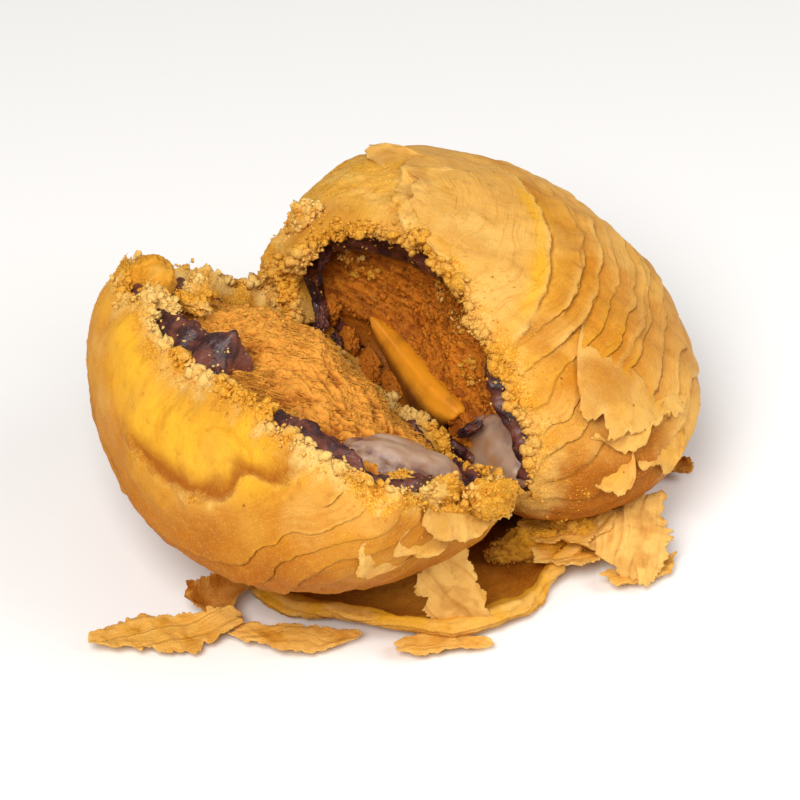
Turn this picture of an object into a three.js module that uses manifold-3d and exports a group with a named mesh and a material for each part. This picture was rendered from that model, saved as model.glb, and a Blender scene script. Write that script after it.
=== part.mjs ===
// Egg yolk pastry, torn open into two halves that still lean together on their shed bottom crust.
// Millimetres, +Z up. X runs to the right of the tear, Y away from the open side.
import * as THREE from 'three';
import { mergeVertices } from 'three/addons/utils/BufferGeometryUtils.js';
import Module from 'manifold-3d';

const wasm = await Module();
wasm.setup();

// ---- driving dimensions ----
const gap = 0.3; // clearance between neighbouring solids
const crustWall = 2.7; // flaky crust, outside to filling
const pasteWall = 2.2; // bean paste between crust and core
const sheetWall = 0.8; // the shed sheet of bottom crust
const flakeGap = 0.5; // clearance round a thin flake
const layerDepth = 0.45; // how far each baked layer steps in from the one below
const outerTurns = 36; // facets round a crust
const innerTurns = 24; // facets round a filling
const blockHalf = 50; // half side of the blocks that the tear surfaces cut
const tearCells = 26; // cells across a tear surface

// Each half is a baked dome of revolution, squeezed across the tear, cut open along its hinge.
// Local axes: +X into the kept side, Y along the tear, +Z from the flat base to the crown.
const right = {
  widest: 28.5, base: 12.1, shoulder: 15.1, crown: 29.2, squeeze: 0.91, layers: 7,
  at: [4.5, 9.4, 5.8], yaw: 26.6, roll: 20.6, lean: 13.5,
};
const left = {
  widest: 28.1, base: 22.2, shoulder: 23.0, crown: 32.5, squeeze: 0.77, layers: 5,
  at: [-0.5, -3.2, 16.35], yaw: 216.6, roll: -58.5, lean: 1.8,
};
const yolk = { radius: 12.6, hollow: 10.2, centre: [-12, 1, -0.5] };
// Blocks that the mochi fills, in the axes of each half: low corner, high corner.
const rightMochi = { low: [-40, -40, -2], high: [2.5, -9.5, 13.5] };
const leftMochi = { low: [-10, 9, -2], high: [9, 40, 20] };

// Shed crust, in the axes of the table.
const sheet = { radii: [22.6, 22.8], centre: [0.4, -5.4], flat: 0.66, lift: 2 };
const backCrust = { radii: [6.6, 4.8, 10.9], centre: [-14.6, 21.4, 11.4] };
const flakes = {
  flake_long: {
    length: 16.5, width: 7, wall: 0.7, point: 0.4, bow: 0.6, curl: 0.4, phase: 0.4,
    at: [-27, -27.2, 0.8], turn: [0, 0, 199],
  },
  flake_low: {
    length: 15, width: 4.6, wall: 0.6, point: 0.3, bow: 0.4, curl: 0.2, phase: 2.1,
    at: [-12.6, -27.8, 0.8], turn: [0, 0, -4],
  },
  flake_brown: {
    length: 8, width: 5, wall: 0.7, point: 0.35, bow: 1.1, curl: 1.3, phase: 3.3,
    at: [-21.2, -21, 1.2], turn: [24, 0, 12],
  },
  flake_upright: {
    length: 11.5, width: 8.4, wall: 0.7, point: 0.55, bow: -0.6, curl: 0.5, phase: 1.2,
    at: [6.4, -24.8, 6], turn: [84, 50, -14],
  },
  flake_front: {
    length: 10.5, width: 4, wall: 0.6, point: 0.3, bow: 0.3, curl: 0.2, phase: 5.2,
    at: [5, -28.8, 0.8], turn: [0, 0, 6],
  },
  flake_stack_low: {
    length: 13, width: 9, wall: 0.7, point: 0.3, bow: 0.9, curl: 0.5, phase: 4.4,
    at: [21.8, -11.6, 2], turn: [0, 3, 32],
  },
  flake_stack_high: {
    length: 11, width: 7, wall: 0.7, point: 0.25, bow: 1, curl: 0.7, phase: 0.9,
    at: [20, -10.6, 4.2], turn: [6, -4, 30],
  },
  flake_pale: {
    length: 13.5, width: 10.5, wall: 0.6, point: 0.55, bow: -1, curl: -0.9, phase: 2.7,
    at: [27.4, -12.4, 5.1], turn: [0, 22, -98],
  },
  flake_pointed: {
    length: 12, width: 4.4, wall: 0.6, point: 0.85, bow: 0.8, curl: 0.2, phase: 1.9,
    at: [28.6, -15.2, 0.8], turn: [0, 0, 32],
  },
  nub_behind: {
    length: 4.4, width: 3.6, wall: 1.2, point: 0.3, bow: 0.5, curl: 0.5, phase: 0.2,
    at: [33.6, 5.2, 1.1], turn: [0, 0, 10],
  },
};

// ---- small helpers ----
const degrees = (angle) => (angle * Math.PI) / 180;
const bump = (value, middle, width) => Math.exp(-(((value - middle) / width) ** 2));
const ramp = (value, low, high) => THREE.MathUtils.smoothstep(value, low, high);

// Uneven, repeatable height of a torn surface: a few crossed waves.
function ragged(y, z, size) {
  const coarse = Math.sin(0.55 * y + 1.3) * Math.cos(0.62 * z - 0.4);
  const fine = Math.sin(1.25 * y - 0.9 * z) * Math.cos(1.1 * z + 0.5 * y);
  return size * (0.6 * coarse + 0.4 * fine);
}

// A closed three.js geometry as a manifold solid: shared corners merged, flat facets dropped.
function solidOf(geometry) {
  const bare = geometry.clone();
  bare.deleteAttribute('normal');
  bare.deleteAttribute('uv');
  const merged = mergeVertices(bare, 1e-4);
  const corners = merged.index.array;
  const kept = [];
  for (let i = 0; i < corners.length; i += 3) {
    const [a, b, c] = [corners[i], corners[i + 1], corners[i + 2]];
    if (a !== b && b !== c && c !== a) kept.push(a, b, c);
  }
  const vertProperties = new Float32Array(merged.attributes.position.array);
  const triVerts = new Uint32Array(kept);
  return new wasm.Manifold(new wasm.Mesh({ numProp: 3, vertProperties, triVerts }));
}

function geometryOf(solid) {
  const { vertProperties, triVerts } = solid.getMesh();
  const geometry = new THREE.BufferGeometry();
  geometry.setAttribute('position', new THREE.BufferAttribute(vertProperties, 3));
  geometry.setIndex(new THREE.BufferAttribute(triVerts, 1));
  return geometry;
}

// Moves every corner of a geometry by a rule on its place.
function reshape(geometry, rule) {
  const spots = geometry.attributes.position;
  for (let i = 0; i < spots.count; i += 1) {
    spots.setXYZ(i, ...rule(spots.getX(i), spots.getY(i), spots.getZ(i)));
  }
  return geometry;
}

// ---- the dome and its layers ----
// Radius grows from the base to the shoulder, then closes on a superellipse to the crown.
// With layers, each ring of the dome steps in where the next baked layer starts.
function domeProfile(shape, inset, layered) {
  const widest = shape.widest - inset;
  const base = shape.base - inset;
  const crown = shape.crown - inset;
  const points = [new THREE.Vector2(0, inset)];
  const wallRows = layered ? 4 : 3;
  for (let row = 0; row <= wallRows; row += 1) {
    const height = inset + ((shape.shoulder - inset) * row) / wallRows;
    const drop = (shape.shoulder - height) / (shape.shoulder - inset);
    points.push(new THREE.Vector2(widest - (widest - base) * drop ** 2, height));
  }
  const rings = layered ? shape.layers : 3;
  for (let ring = 0; ring < rings; ring += 1) {
    for (const within of layered ? [0.06, 0.96] : [0, 0.5]) {
      const angle = ((ring + within) / rings) * (Math.PI / 2);
      const step = layered ? layerDepth * (1 - within) : 0;
      const radius = (widest - step) * Math.cos(angle) ** 0.95;
      const height = shape.shoulder + (crown - step - shape.shoulder) * Math.sin(angle) ** 0.95;
      if (angle > 0) points.push(new THREE.Vector2(radius, height));
    }
  }
  points.push(new THREE.Vector2(0, crown));
  return points;
}

function dome(shape, inset, layered = false) {
  const facets = layered ? outerTurns : innerTurns;
  const lathe = new THREE.LatheGeometry(domeProfile(shape, inset, layered), facets);
  lathe.rotateX(Math.PI / 2);
  lathe.scale(shape.squeeze, 1, 1);
  return solidOf(lathe);
}

// Everything on the kept side of a torn surface x = tear(y, z).
function keptSide(tear) {
  const side = 2 * blockHalf;
  const block = new THREE.BoxGeometry(side, side, side, 1, tearCells, tearCells);
  reshape(block, (x, y, z) => [x < 0 ? tear(y, z) : x, y, z]);
  return solidOf(block);
}

function ball(radius, centre) {
  const sphere = new THREE.SphereGeometry(radius, 22, 14);
  sphere.translate(...centre);
  return solidOf(sphere);
}

// A block between two corners, grown by the same distance on every side.
function slab(corners, grow = 0) {
  const low = new THREE.Vector3(...corners.low).subScalar(grow);
  const high = new THREE.Vector3(...corners.high).addScalar(grow);
  const size = high.clone().sub(low);
  const box = new THREE.BoxGeometry(...size.toArray());
  box.translate(...low.add(high).multiplyScalar(0.5).toArray());
  return solidOf(box);
}

// ---- torn surfaces ----
// How far a tear leans out above and below the height of the shoulder.
const lip = (z, above, below) => (z > 12 ? above * (z - 12) : below * (12 - z));

// Right: the crust overhangs towards its crown and wraps round behind the hinge.
const rightCrustTear = (y, z) =>
  -6.3 - lip(z, 0.52, 0.5) - 17 * ramp(y, 0, 13) + ragged(y, z, 0.7);
const rightPasteTear = (y, z) =>
  -5.2 - lip(z, 0.33, 0.5) - 14 * ramp(y, 2, 15) + ragged(z, y, 0.6);
const rightCoreTear = (y, z) =>
  -5.6 - lip(z, 0.12, 0.6) - 12 * ramp(y, 4, 17) + ragged(y, z, 0.8);
// Left: a flat tear with a raised lump of crust at its far end and a bulging core.
const leftCrustTear = (y, z) =>
  -4.2 * bump(y, -21, 6) * bump(z, 16, 11) + ragged(y, z, 0.7);
const leftPasteTear = (y, z) =>
  0.9 - 3.2 * bump(y, -17, 6) * bump(z, 20, 8) + ragged(z, y, 0.6);
const leftCoreTear = (y, z) =>
  1.4 - 7.6 * bump(y, -2, 15) * bump(z, 14, 10) + ragged(y, z, 0.7);

// ---- materials ----
function material(name, color, roughness) {
  const made = new THREE.MeshStandardMaterial({ color, roughness, metalness: 0 });
  made.name = name;
  return made;
}
const crustFinish = () => material('baked_crust', '#e6b24f', 0.7);
const pasteFinish = () => material('bean_paste', '#3f2026', 0.35);
const mochiFinish = () => material('mochi', '#cdb5a4', 0.3);
const flossFinish = () => material('meat_floss', '#c98536', 0.8);
const yolkFinish = () => material('salted_yolk', '#e0912b', 0.3);

function piece(name, solid, finish) {
  const mesh = new THREE.Mesh(geometryOf(solid), finish);
  mesh.name = name;
  return mesh;
}

// ---- placing a half ----
function turnOf(half) {
  const yaw = degrees(half.yaw);
  const facing = degrees(half.yaw % 180);
  const hinge = new THREE.Vector3(-Math.sin(facing), Math.cos(facing), 0);
  const outward = new THREE.Vector3(Math.cos(facing), Math.sin(facing), 0);
  const turn = new THREE.Quaternion().setFromAxisAngle(new THREE.Vector3(0, 0, 1), yaw);
  turn.premultiply(new THREE.Quaternion().setFromAxisAngle(hinge, degrees(half.roll)));
  turn.premultiply(new THREE.Quaternion().setFromAxisAngle(outward, degrees(half.lean)));
  return turn;
}

function placed(half, meshes) {
  const group = new THREE.Group();
  group.add(...meshes);
  group.quaternion.copy(turnOf(half));
  group.position.set(...half.at);
  return group;
}

// A solid of one frame moved into another: from a half's own axes to the table, or back.
function moved(solid, matrix) {
  const geometry = geometryOf(solid);
  geometry.applyMatrix4(matrix);
  return solidOf(geometry);
}

function frameOf(half) {
  const one = new THREE.Vector3(1, 1, 1);
  return new THREE.Matrix4().compose(new THREE.Vector3(...half.at), turnOf(half), one);
}

// ---- right half ----
function rightHalf() {
  const room = dome(right, crustWall);
  const filling = dome(right, crustWall + gap);
  const coreRoom = dome(right, crustWall + pasteWall);
  const core = dome(right, crustWall + pasteWall + gap);
  const coreSide = keptSide(rightCoreTear);
  const yolkRoom = ball(yolk.radius + gap, yolk.centre);
  const crust = dome(right, 0, true).subtract(room).intersect(keptSide(rightCrustTear));
  const paste = filling.subtract(coreRoom).intersect(keptSide(rightPasteTear));
  const floss = core.subtract(slab(rightMochi, gap)).subtract(yolkRoom).intersect(coreSide);
  const mochi = core.intersect(slab(rightMochi)).subtract(yolkRoom).intersect(coreSide);
  const yolkWall = ball(yolk.radius, yolk.centre).subtract(ball(yolk.hollow, yolk.centre));
  const yolkCup = yolkWall.intersect(coreSide).intersect(core);
  return { crust, paste, floss, mochi, yolkCup };
}

// ---- left half ----
function leftHalf() {
  const room = dome(left, crustWall);
  const filling = dome(left, crustWall + gap);
  const coreRoom = dome(left, crustWall + pasteWall);
  const core = dome(left, crustWall + pasteWall + gap);
  const crust = dome(left, 0, true).subtract(room).intersect(keptSide(leftCrustTear));
  const paste = filling.subtract(coreRoom).intersect(keptSide(leftPasteTear));
  const floss = core.subtract(slab(leftMochi, gap)).intersect(keptSide(leftCoreTear));
  const mochi = core.intersect(slab(leftMochi)).intersect(keptSide(leftPasteTear));
  return { crust, paste, floss, mochi };
}

// ---- shed crust ----
// A thin sheet of crust: an uneven strip, bowed along its length and curled across it.
function flakeSolid(spec, grow = 0) {
  const strip = new THREE.BoxGeometry(1, 1, 1, 8, 2, 1);
  reshape(strip, (u, v, w) => {
    const along = u + 0.5;
    const body = Math.sin(Math.PI * (0.09 + 0.82 * along)) ** 0.5 * (1 - spec.point * along ** 2);
    const waves = 0.16 * Math.sin(9 * along + spec.phase) + 0.1 * Math.sin(23 * along + 2 * spec.phase);
    const sway = 0.12 * spec.width * Math.sin(5 * along + spec.phase);
    const height = spec.bow * 4 * u ** 2 + spec.curl * 4 * v ** 2 + (spec.wall + 2 * grow) * w;
    const across = (spec.width * body * (1 + waves) + 2 * grow) * v;
    return [(spec.length + 2 * grow) * u, across + sway, height];
  });
  const turn = new THREE.Quaternion().setFromEuler(new THREE.Euler(...spec.turn.map(degrees), 'ZYX'));
  const one = new THREE.Vector3(1, 1, 1);
  strip.applyMatrix4(new THREE.Matrix4().compose(new THREE.Vector3(...spec.at), turn, one));
  return solidOf(strip);
}

// The bottom crust that stayed on the table: a round sheet, flat in the middle, its rim turned up.
function bottomSheet(grow = 0) {
  const { radii, centre, flat, lift } = sheet;
  const disc = new THREE.BoxGeometry(2, 2, 1, 12, 12, 1);
  reshape(disc, (u, v, w) => {
    const across = u * Math.sqrt(1 - (v * v) / 2);
    const along = v * Math.sqrt(1 - (u * u) / 2);
    const angle = Math.atan2(along, across);
    const edge = 1 + 0.04 * Math.sin(5 * angle + 1) + 0.03 * Math.sin(13 * angle);
    const out = Math.hypot(across, along);
    const rise = lift * ramp(out, flat, 1) ** 1.5;
    const x = centre[0] + (radii[0] + grow) * edge * across;
    const y = centre[1] + (radii[1] + grow) * edge * along;
    return [x, y, rise + sheetWall * (w + 0.5) + 2 * grow * w];
  });
  return solidOf(disc);
}

// A torn clump of crust that stands between the halves at the closed end of the tear.
function backClump() {
  const clump = new THREE.SphereGeometry(1, 18, 12);
  reshape(clump, (x, y, z) => {
    const knobs = 1 + 0.12 * Math.sin(5 * x + 2) * Math.cos(4 * z) + 0.1 * Math.sin(6 * y + 3 * z);
    const [rx, ry, rz] = backCrust.radii;
    const [cx, cy, cz] = backCrust.centre;
    return [cx + rx * knobs * x, cy + ry * knobs * y, cz + rz * knobs * z];
  });
  return solidOf(clump);
}

// Each shed piece gives way to the halves and to the pieces laid before it.
function shedCrust(obstacles) {
  const clear = (solid) => obstacles.reduce((rest, room) => rest.subtract(room), solid);
  const larger = (a, b) => (a.volume() > b.volume() ? a : b);
  const fitted = (solid) => clear(solid).decompose().reduce(larger);
  const pieces = { bottom_sheet: fitted(bottomSheet()), crust_back: fitted(backClump()) };
  obstacles.push(bottomSheet(gap));
  for (const [name, spec] of Object.entries(flakes)) {
    pieces[name] = fitted(flakeSolid(spec));
    obstacles.push(flakeSolid(spec, flakeGap));
  }
  return pieces;
}

// ---- the whole ----
function pastry() {
  const leftTear = keptSide((y, z) => leftCrustTear(y, z) - gap);
  const rightTear = keptSide((y, z) => rightCrustTear(y, z) - gap);
  const leftRoom = dome(left, -gap, true).intersect(leftTear);
  const rightRoom = dome(right, -gap, true).intersect(rightTear);
  const leftSeenFromRight = moved(leftRoom, frameOf(right).invert().multiply(frameOf(left)));
  const r = rightHalf();
  for (const part of Object.keys(r)) r[part] = r[part].subtract(leftSeenFromRight);
  const l = leftHalf();
  const shed = shedCrust([moved(leftRoom, frameOf(left)), moved(rightRoom, frameOf(right))]);
  const whole = new THREE.Group();
  whole.add(
    placed(right, [
      piece('crust_right', r.crust, crustFinish()),
      piece('bean_paste_right', r.paste, pasteFinish()),
      piece('floss_right', r.floss, flossFinish()),
      piece('mochi_right', r.mochi, mochiFinish()),
      piece('yolk_right', r.yolkCup, yolkFinish()),
    ]),
    placed(left, [
      piece('crust_left', l.crust, crustFinish()),
      piece('bean_paste_left', l.paste, pasteFinish()),
      piece('floss_left', l.floss, flossFinish()),
      piece('mochi_left', l.mochi, mochiFinish()),
    ]),
    ...Object.entries(shed).map(([name, solid]) => piece(name, solid, crustFinish())),
  );
  return whole;
}

// Stands a group on the ground with its box centred over the origin.
function grounded(group) {
  const box = new THREE.Box3().setFromObject(group, true);
  const middle = box.getCenter(new THREE.Vector3());
  group.position.set(-middle.x, -middle.y, -box.min.z);
  return group;
}

export default grounded(pastry());
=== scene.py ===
import bpy
import numpy as np
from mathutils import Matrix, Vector


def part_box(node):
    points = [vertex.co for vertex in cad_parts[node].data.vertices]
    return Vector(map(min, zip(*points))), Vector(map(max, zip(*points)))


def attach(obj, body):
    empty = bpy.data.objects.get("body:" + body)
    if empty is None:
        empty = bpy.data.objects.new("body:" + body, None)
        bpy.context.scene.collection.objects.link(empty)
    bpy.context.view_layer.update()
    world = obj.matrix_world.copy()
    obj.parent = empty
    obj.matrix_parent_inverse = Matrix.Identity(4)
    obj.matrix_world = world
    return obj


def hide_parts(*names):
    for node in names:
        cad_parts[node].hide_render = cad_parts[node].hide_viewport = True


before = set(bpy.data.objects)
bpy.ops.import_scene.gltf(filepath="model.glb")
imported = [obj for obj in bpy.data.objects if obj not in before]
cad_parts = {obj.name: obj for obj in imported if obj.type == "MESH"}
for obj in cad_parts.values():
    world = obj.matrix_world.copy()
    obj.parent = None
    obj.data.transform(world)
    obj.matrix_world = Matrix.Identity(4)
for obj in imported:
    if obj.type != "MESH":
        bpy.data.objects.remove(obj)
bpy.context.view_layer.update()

mm = 0.001

# Shapes are worked out in millimetres and become metres when they are put into a mesh.
# Each half has its own axes: +X into the half, Y along its tear, +Z from the flat base to the crown.
rightHalf = {
    "node": "crust_right", "corner": 1,
    "widest": 28.5, "base": 12.1, "shoulder": 15.1, "crown": 29.2, "squeeze": 0.91,
    "yaw": 26.6, "roll": 20.6, "lean": 13.5,
}
leftHalf = {
    "node": "crust_left", "corner": 0,
    "widest": 28.1, "base": 22.2, "shoulder": 23.0, "crown": 32.5, "squeeze": 0.77,
    "yaw": 216.6, "roll": -58.5, "lean": 1.8,
}
# Depths under the outer face: inner face of the crust, and the core inside the paste, which keeps a gap to
# both. Under the flat base each layer has only the "floor" share of its depth.
walls = {"crust": 2.0, "core": 5.2, "gap": 0.1, "floor": 0.3}


# Eight hashed corner values of the unit cell, blended with eased weights: smooth noise, about -1 to 1.
def latticeNoise(points, seed):
    cell = np.floor(points).astype(np.int64)
    part = points - cell
    ease = part ** 3 * (part * (part * 6 - 15) + 10)
    total = np.zeros(points.shape[:-1])
    for corner in range(8):
        step = np.array([corner & 1, corner >> 1 & 1, corner >> 2])
        spot = cell + step
        mixed = spot[..., 0] * 374761393 + spot[..., 1] * 668265263 + spot[..., 2] * 1440662683 + seed * 97471
        mixed = mixed & 0xffffffff
        mixed = ((mixed ^ (mixed >> 13)) * 1274126177) & 0xffffffff
        value = ((mixed ^ (mixed >> 16)) & 0xffff) / 32767.5 - 1
        total += value * np.prod(np.where(step == 1, ease, 1 - ease), axis=-1)
    return total


# Noise of several sizes on top of each other, each half as large and "keep" times as strong.
def fractal(points, size, octaves, seed, keep=0.5):
    total, strength, greatest = 0, 1.0, 0.0
    for octave in range(octaves):
        total = total + strength * latticeNoise(points / size * 2 ** octave, seed + 31 * octave)
        greatest += strength
        strength *= keep
    return total / greatest * 1.6  # 1.6 brings most values back to -1 to 1


# A value cut off at 0 and 1.
def clipped(value):
    return np.clip(value, 0, 1)


# 0 up to low, 1 from high, and the cubic 3 p^2 - 2 p^3 between them; low may be the larger one.
def smoothStep(low, high, value):
    part = clipped((value - low) / (high - low))
    return part * part * (3 - 2 * part)


# A bell, 1 at its middle: e to the minus square of the distance in widths.
def bump(value, middle, width):
    return np.exp(-((value - middle) / width) ** 2)


# Angle in degrees from a middle direction, between -180 and 180.
def degreesFrom(angle, middle):
    return (np.degrees(angle) - middle + 180) % 360 - 180


# Angles of a whole turn in equal steps.
def wholeTurn(count):
    return np.linspace(0, 2 * np.pi, count, endpoint=False)


# Arrays put side by side as coordinates.
def pointsOf(*parts):
    return np.stack(np.broadcast_arrays(*parts), -1).astype(float)


# Rotation by an angle in degrees about an axis (Rodrigues).
def turnAbout(axis, degrees):
    x, y, z = np.array(axis, float) / np.linalg.norm(axis)
    cross = np.array([[0, -z, y], [z, 0, -x], [-y, x, 0]])
    angle = np.radians(degrees)
    return np.eye(3) + np.sin(angle) * cross + (1 - np.cos(angle)) * cross @ cross


# Quads between neighbouring rows of a grid whose columns close on themselves.
def wrappedQuads(rows, columns, first=0):
    row, column = np.meshgrid(np.arange(rows - 1), np.arange(columns), indexing="ij")
    start = first + row * columns
    near, far = start + column, start + (column + 1) % columns
    return np.stack([near, far, far + columns, near + columns], -1).reshape(-1, 4)


# Triangles from a pole to a ring of points.
def poleFan(pole, ring):
    return np.stack([np.full(len(ring), pole), ring, np.roll(ring, -1)], -1)


# A closed grid of rows of rings, with a pole before the first row and after the last: the given points,
# or the middles of those two rows.
def closedGrid(rows, poles=None):
    count, columns = rows.shape[:2]
    if poles is None:
        poles = np.stack([rows[0].mean(axis=0), rows[-1].mean(axis=0)])
    points = np.concatenate([poles[:1], rows.reshape(-1, 3), poles[1:]])
    quads = wrappedQuads(count, columns, 1)
    top = poleFan(0, 1 + np.arange(columns))[:, ::-1]
    bottom = poleFan(len(points) - 1, 1 + (count - 1) * columns + np.arange(columns))
    return points, [quads, top, bottom]


# Rings of a unit ball without its poles: (sin up cos around, sin up sin around, cos up).
def ballGrid(rings, columns):
    up, around = np.meshgrid(np.linspace(0, np.pi, rings + 2)[1:-1], wholeTurn(columns), indexing="ij")
    return pointsOf(np.sin(up) * np.cos(around), np.sin(up) * np.sin(around), np.cos(up))


# Six times the volume inside the faces; negative where they point inwards.
def signedVolume(points, polygons):
    total = 0.0
    for faces in polygons:
        for last in range(2, faces.shape[1]):
            a, b, c = points[faces[:, 0]], points[faces[:, last - 1]], points[faces[:, last]]
            total += np.einsum("ij,ij->", a, np.cross(b, c))
    return total


# Several shapes as one: points one after another, faces counted on.
def joined(parts):
    points, polygons, marks, first = [], [], {}, 0
    for part in parts:
        points.append(part["points"])
        polygons += [faces + first for faces in part["polygons"]]
        first += len(part["points"])
    for name in parts[0]["marks"]:
        marks[name] = np.concatenate([part["marks"][name] for part in parts])
    return {"points": np.concatenate(points), "polygons": polygons, "marks": marks}


# One closed shape: points, faces turned outwards, and a value at each point for each mark.
def shapeOf(points, polygons, **marks):
    if signedVolume(points - points.mean(axis=0), polygons) < 0:
        polygons = [faces[:, ::-1] for faces in polygons]
    marks = {name: np.broadcast_to(value, len(points)).astype(float) for name, value in marks.items()}
    return {"points": points, "polygons": polygons, "marks": marks}


# Puts a shape into a mesh in metres, with its marks as attributes. A finish is a material and the slot it stands for,
# of which only the material is used; the nodes are the solids that the piece replaces.
def makePiece(name, shape, finish, nodes=()):
    material, slot = finish
    points, polygons = shape["points"] * mm, shape["polygons"]
    sides = np.concatenate([np.full(len(faces), faces.shape[1]) for faces in polygons])
    corners = np.concatenate([faces.ravel() for faces in polygons])
    mesh = bpy.data.meshes.new(name)
    mesh.vertices.add(len(points))
    mesh.vertices.foreach_set("co", points.ravel())
    mesh.loops.add(len(corners))
    mesh.loops.foreach_set("vertex_index", corners)
    mesh.polygons.add(len(sides))
    mesh.polygons.foreach_set("loop_start", np.concatenate([[0], np.cumsum(sides)[:-1]]))
    mesh.update(calc_edges=True)
    mesh.validate()
    for mark, values in shape["marks"].items():
        layer = mesh.attributes.new(mark, "FLOAT", "POINT")
        layer.data.foreach_set("value", values.astype(np.float32))
    mesh.polygons.foreach_set("use_smooth", np.ones(len(mesh.polygons), bool))
    mesh.materials.append(material)
    piece = bpy.data.objects.new(name, mesh)
    bpy.context.scene.collection.objects.link(piece)
    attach(piece, "root")
    if nodes:
        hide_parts(*nodes)
    print(name, "has", int((sides - 2).sum()), "triangles")


crownFullness = 0.95  # exponent of the superellipse above the shoulder: below 1 is fuller than a circle


# Radius at a height: it grows from the base to the shoulder, then closes on a superellipse.
def domeRadius(half, height, inset):
    widest, base, crown = half["widest"] - inset, half["base"] - inset, half["crown"] - inset
    shoulder = half["shoulder"]
    drop = clipped((shoulder - height) / (shoulder - inset))
    rise = clipped((height - shoulder) / (crown - shoulder))
    lower = widest - (widest - base) * drop ** 2
    upper = widest * clipped(1 - rise ** (2 / crownFullness)) ** (crownFullness / 2)
    return np.where(height < shoulder, lower, upper)


# The edge between the wall and the flat base is rounded by a soft maximum of the two.
def outsideDome(half, points, inset, soft):
    rim = np.hypot(points[..., 0] / half["squeeze"], points[..., 1])
    height = points[..., 2]
    side = rim - domeRadius(half, height, inset)
    floorInset = np.where(inset > 0, walls["floor"] * inset, inset)
    corner = soft * np.logaddexp(side / soft, (floorInset - height) / soft)
    return np.maximum(corner, height - (half["crown"] - inset)) > 0


softCorner = 0.8  # how far the corner between wall and base is rounded
farOff = 70.0  # further than any point of a dome


# Distance along each direction from a centre to the dome, by halving.
def reach(half, centre, directions, inset, soft=softCorner):
    low = np.zeros(directions.shape[:-1])
    high = np.full(directions.shape[:-1], farOff)
    for _ in range(30):
        middle = (low + high) / 2
        out = outsideDome(half, centre + middle[..., None] * directions, inset, soft)
        low, high = np.where(out, low, middle), np.where(out, middle, high)
    return low


# Directions at an angle alpha from +X, turned phi about the X axis.
def fanOut(alpha, phi):
    return pointsOf(np.cos(alpha), np.sin(alpha) * np.cos(phi), np.sin(alpha) * np.sin(phi))


# Turns a half by its yaw, then rolls it about the hinge line and leans it about the way it faces, and
# shifts it so that its dome fills its solid's box up to the named corner.
def standHalf(half):
    facing = np.radians(half["yaw"] % 180)
    hinge = (-np.sin(facing), np.cos(facing), 0)
    outward = (np.cos(facing), np.sin(facing), 0)
    half["turn"] = (turnAbout(outward, half["lean"]) @ turnAbout(hinge, half["roll"])
                    @ turnAbout((0, 0, 1), half["yaw"]))
    alpha, phi = np.meshgrid(np.linspace(0, np.pi, 181), np.linspace(0, 2 * np.pi, 361), indexing="ij")
    centre = np.array([0, 0, half["shoulder"]])
    around = fanOut(alpha, phi)
    hull = (centre + reach(half, centre, around, 0, 0.01)[..., None] * around).reshape(-1, 3) @ half["turn"].T
    corner = np.array(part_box(half["node"])[half["corner"]]) / mm
    half["at"] = corner - (hull.max(axis=0) if half["corner"] else hull.min(axis=0))
    print(half["node"], "stands at", np.round(half["at"], 2).tolist())


# From a half's own axes to the table: turned, then shifted.
def toTable(half, points):
    return points @ half["turn"].T + half["at"]


halves = ((rightHalf, "Right"), (leftHalf, "Left"))
for half, side in halves:
    standHalf(half)


# Profile of a dome from crown to base, as radius and height, and the length along it.
def domeProfile(half):
    up = np.linspace(np.pi / 2, 0, 300)
    down = np.linspace(half["shoulder"], 0, 300)[1:]
    rise = half["crown"] - half["shoulder"]
    profile = np.concatenate([
        pointsOf(half["widest"] * np.cos(up) ** crownFullness, half["shoulder"] + rise * np.sin(up) ** crownFullness),
        pointsOf(domeRadius(half, down, 0), down)])
    return profile, np.concatenate([[0], np.cumsum(np.hypot(*np.diff(profile, axis=0).T))])


# Flat map of a dome: distance from the crown along the surface, turned round the crown.
def flatMap(half, points):
    profile, length = domeProfile(half)
    slope = np.arctan2(profile[:, 1] - half["shoulder"], profile[:, 0])
    rim = np.hypot(points[..., 0] / half["squeeze"], points[..., 1])
    away = np.interp(np.arctan2(points[..., 2] - half["shoulder"], rim), slope[::-1], length[::-1])
    around = np.arctan2(points[..., 1], points[..., 0] / half["squeeze"])
    return pointsOf(away * np.cos(around), away * np.sin(around))


# A point of the flat map back on the dome, raised along the outward normal of the profile.
def onDome(half, x, y, lift):
    profile, length = domeProfile(half)
    away, around = np.hypot(x, y), np.arctan2(y, x)
    slopes = [np.interp(away, length, np.gradient(column, length)) for column in profile.T]
    rim = np.interp(away, length, profile[:, 0]) - lift * slopes[1]
    height = np.interp(away, length, profile[:, 1]) + lift * slopes[0]
    return pointsOf(half["squeeze"] * rim * np.cos(around), rim * np.sin(around), height)


# Crossed waves, as large as size, that both halves share with their solids.
def ragged(y, z, size):
    coarse = np.sin(0.55 * y + 1.3) * np.cos(0.62 * z - 0.4)
    fine = np.sin(1.25 * y - 0.9 * z) * np.cos(1.1 * z + 0.5 * y)
    return size * (0.6 * coarse + 0.4 * fine)


# Torn faces of the right half: how far they stand out at the line of the lip, how steeply they lean out
# above and below it, how much further they reach on the side that leans on the left half, and from where.
rightTears = {
    "lip": 12,
    "crust": {"out": 6.3, "above": 0.52, "below": 0.5, "further": 17, "from": 0},
    "paste": {"out": 5.2, "above": 0.33, "below": 0.5, "further": 14, "from": 2},
    "core": {"out": 5.6, "above": 0.12, "below": 0.6, "further": 12, "from": 4},
}


# Start, less the reach at the lip, the lean in proportion to the height over or under it, and the far side.
def rightFace(layer, y, z, start=0):
    look, rise = rightTears[layer], z - rightTears["lip"]
    lean = np.where(rise > 0, look["above"] * rise, look["below"] * -rise)
    return start - look["out"] - lean - look["further"] * smoothStep(look["from"], look["from"] + 13, y)


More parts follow.
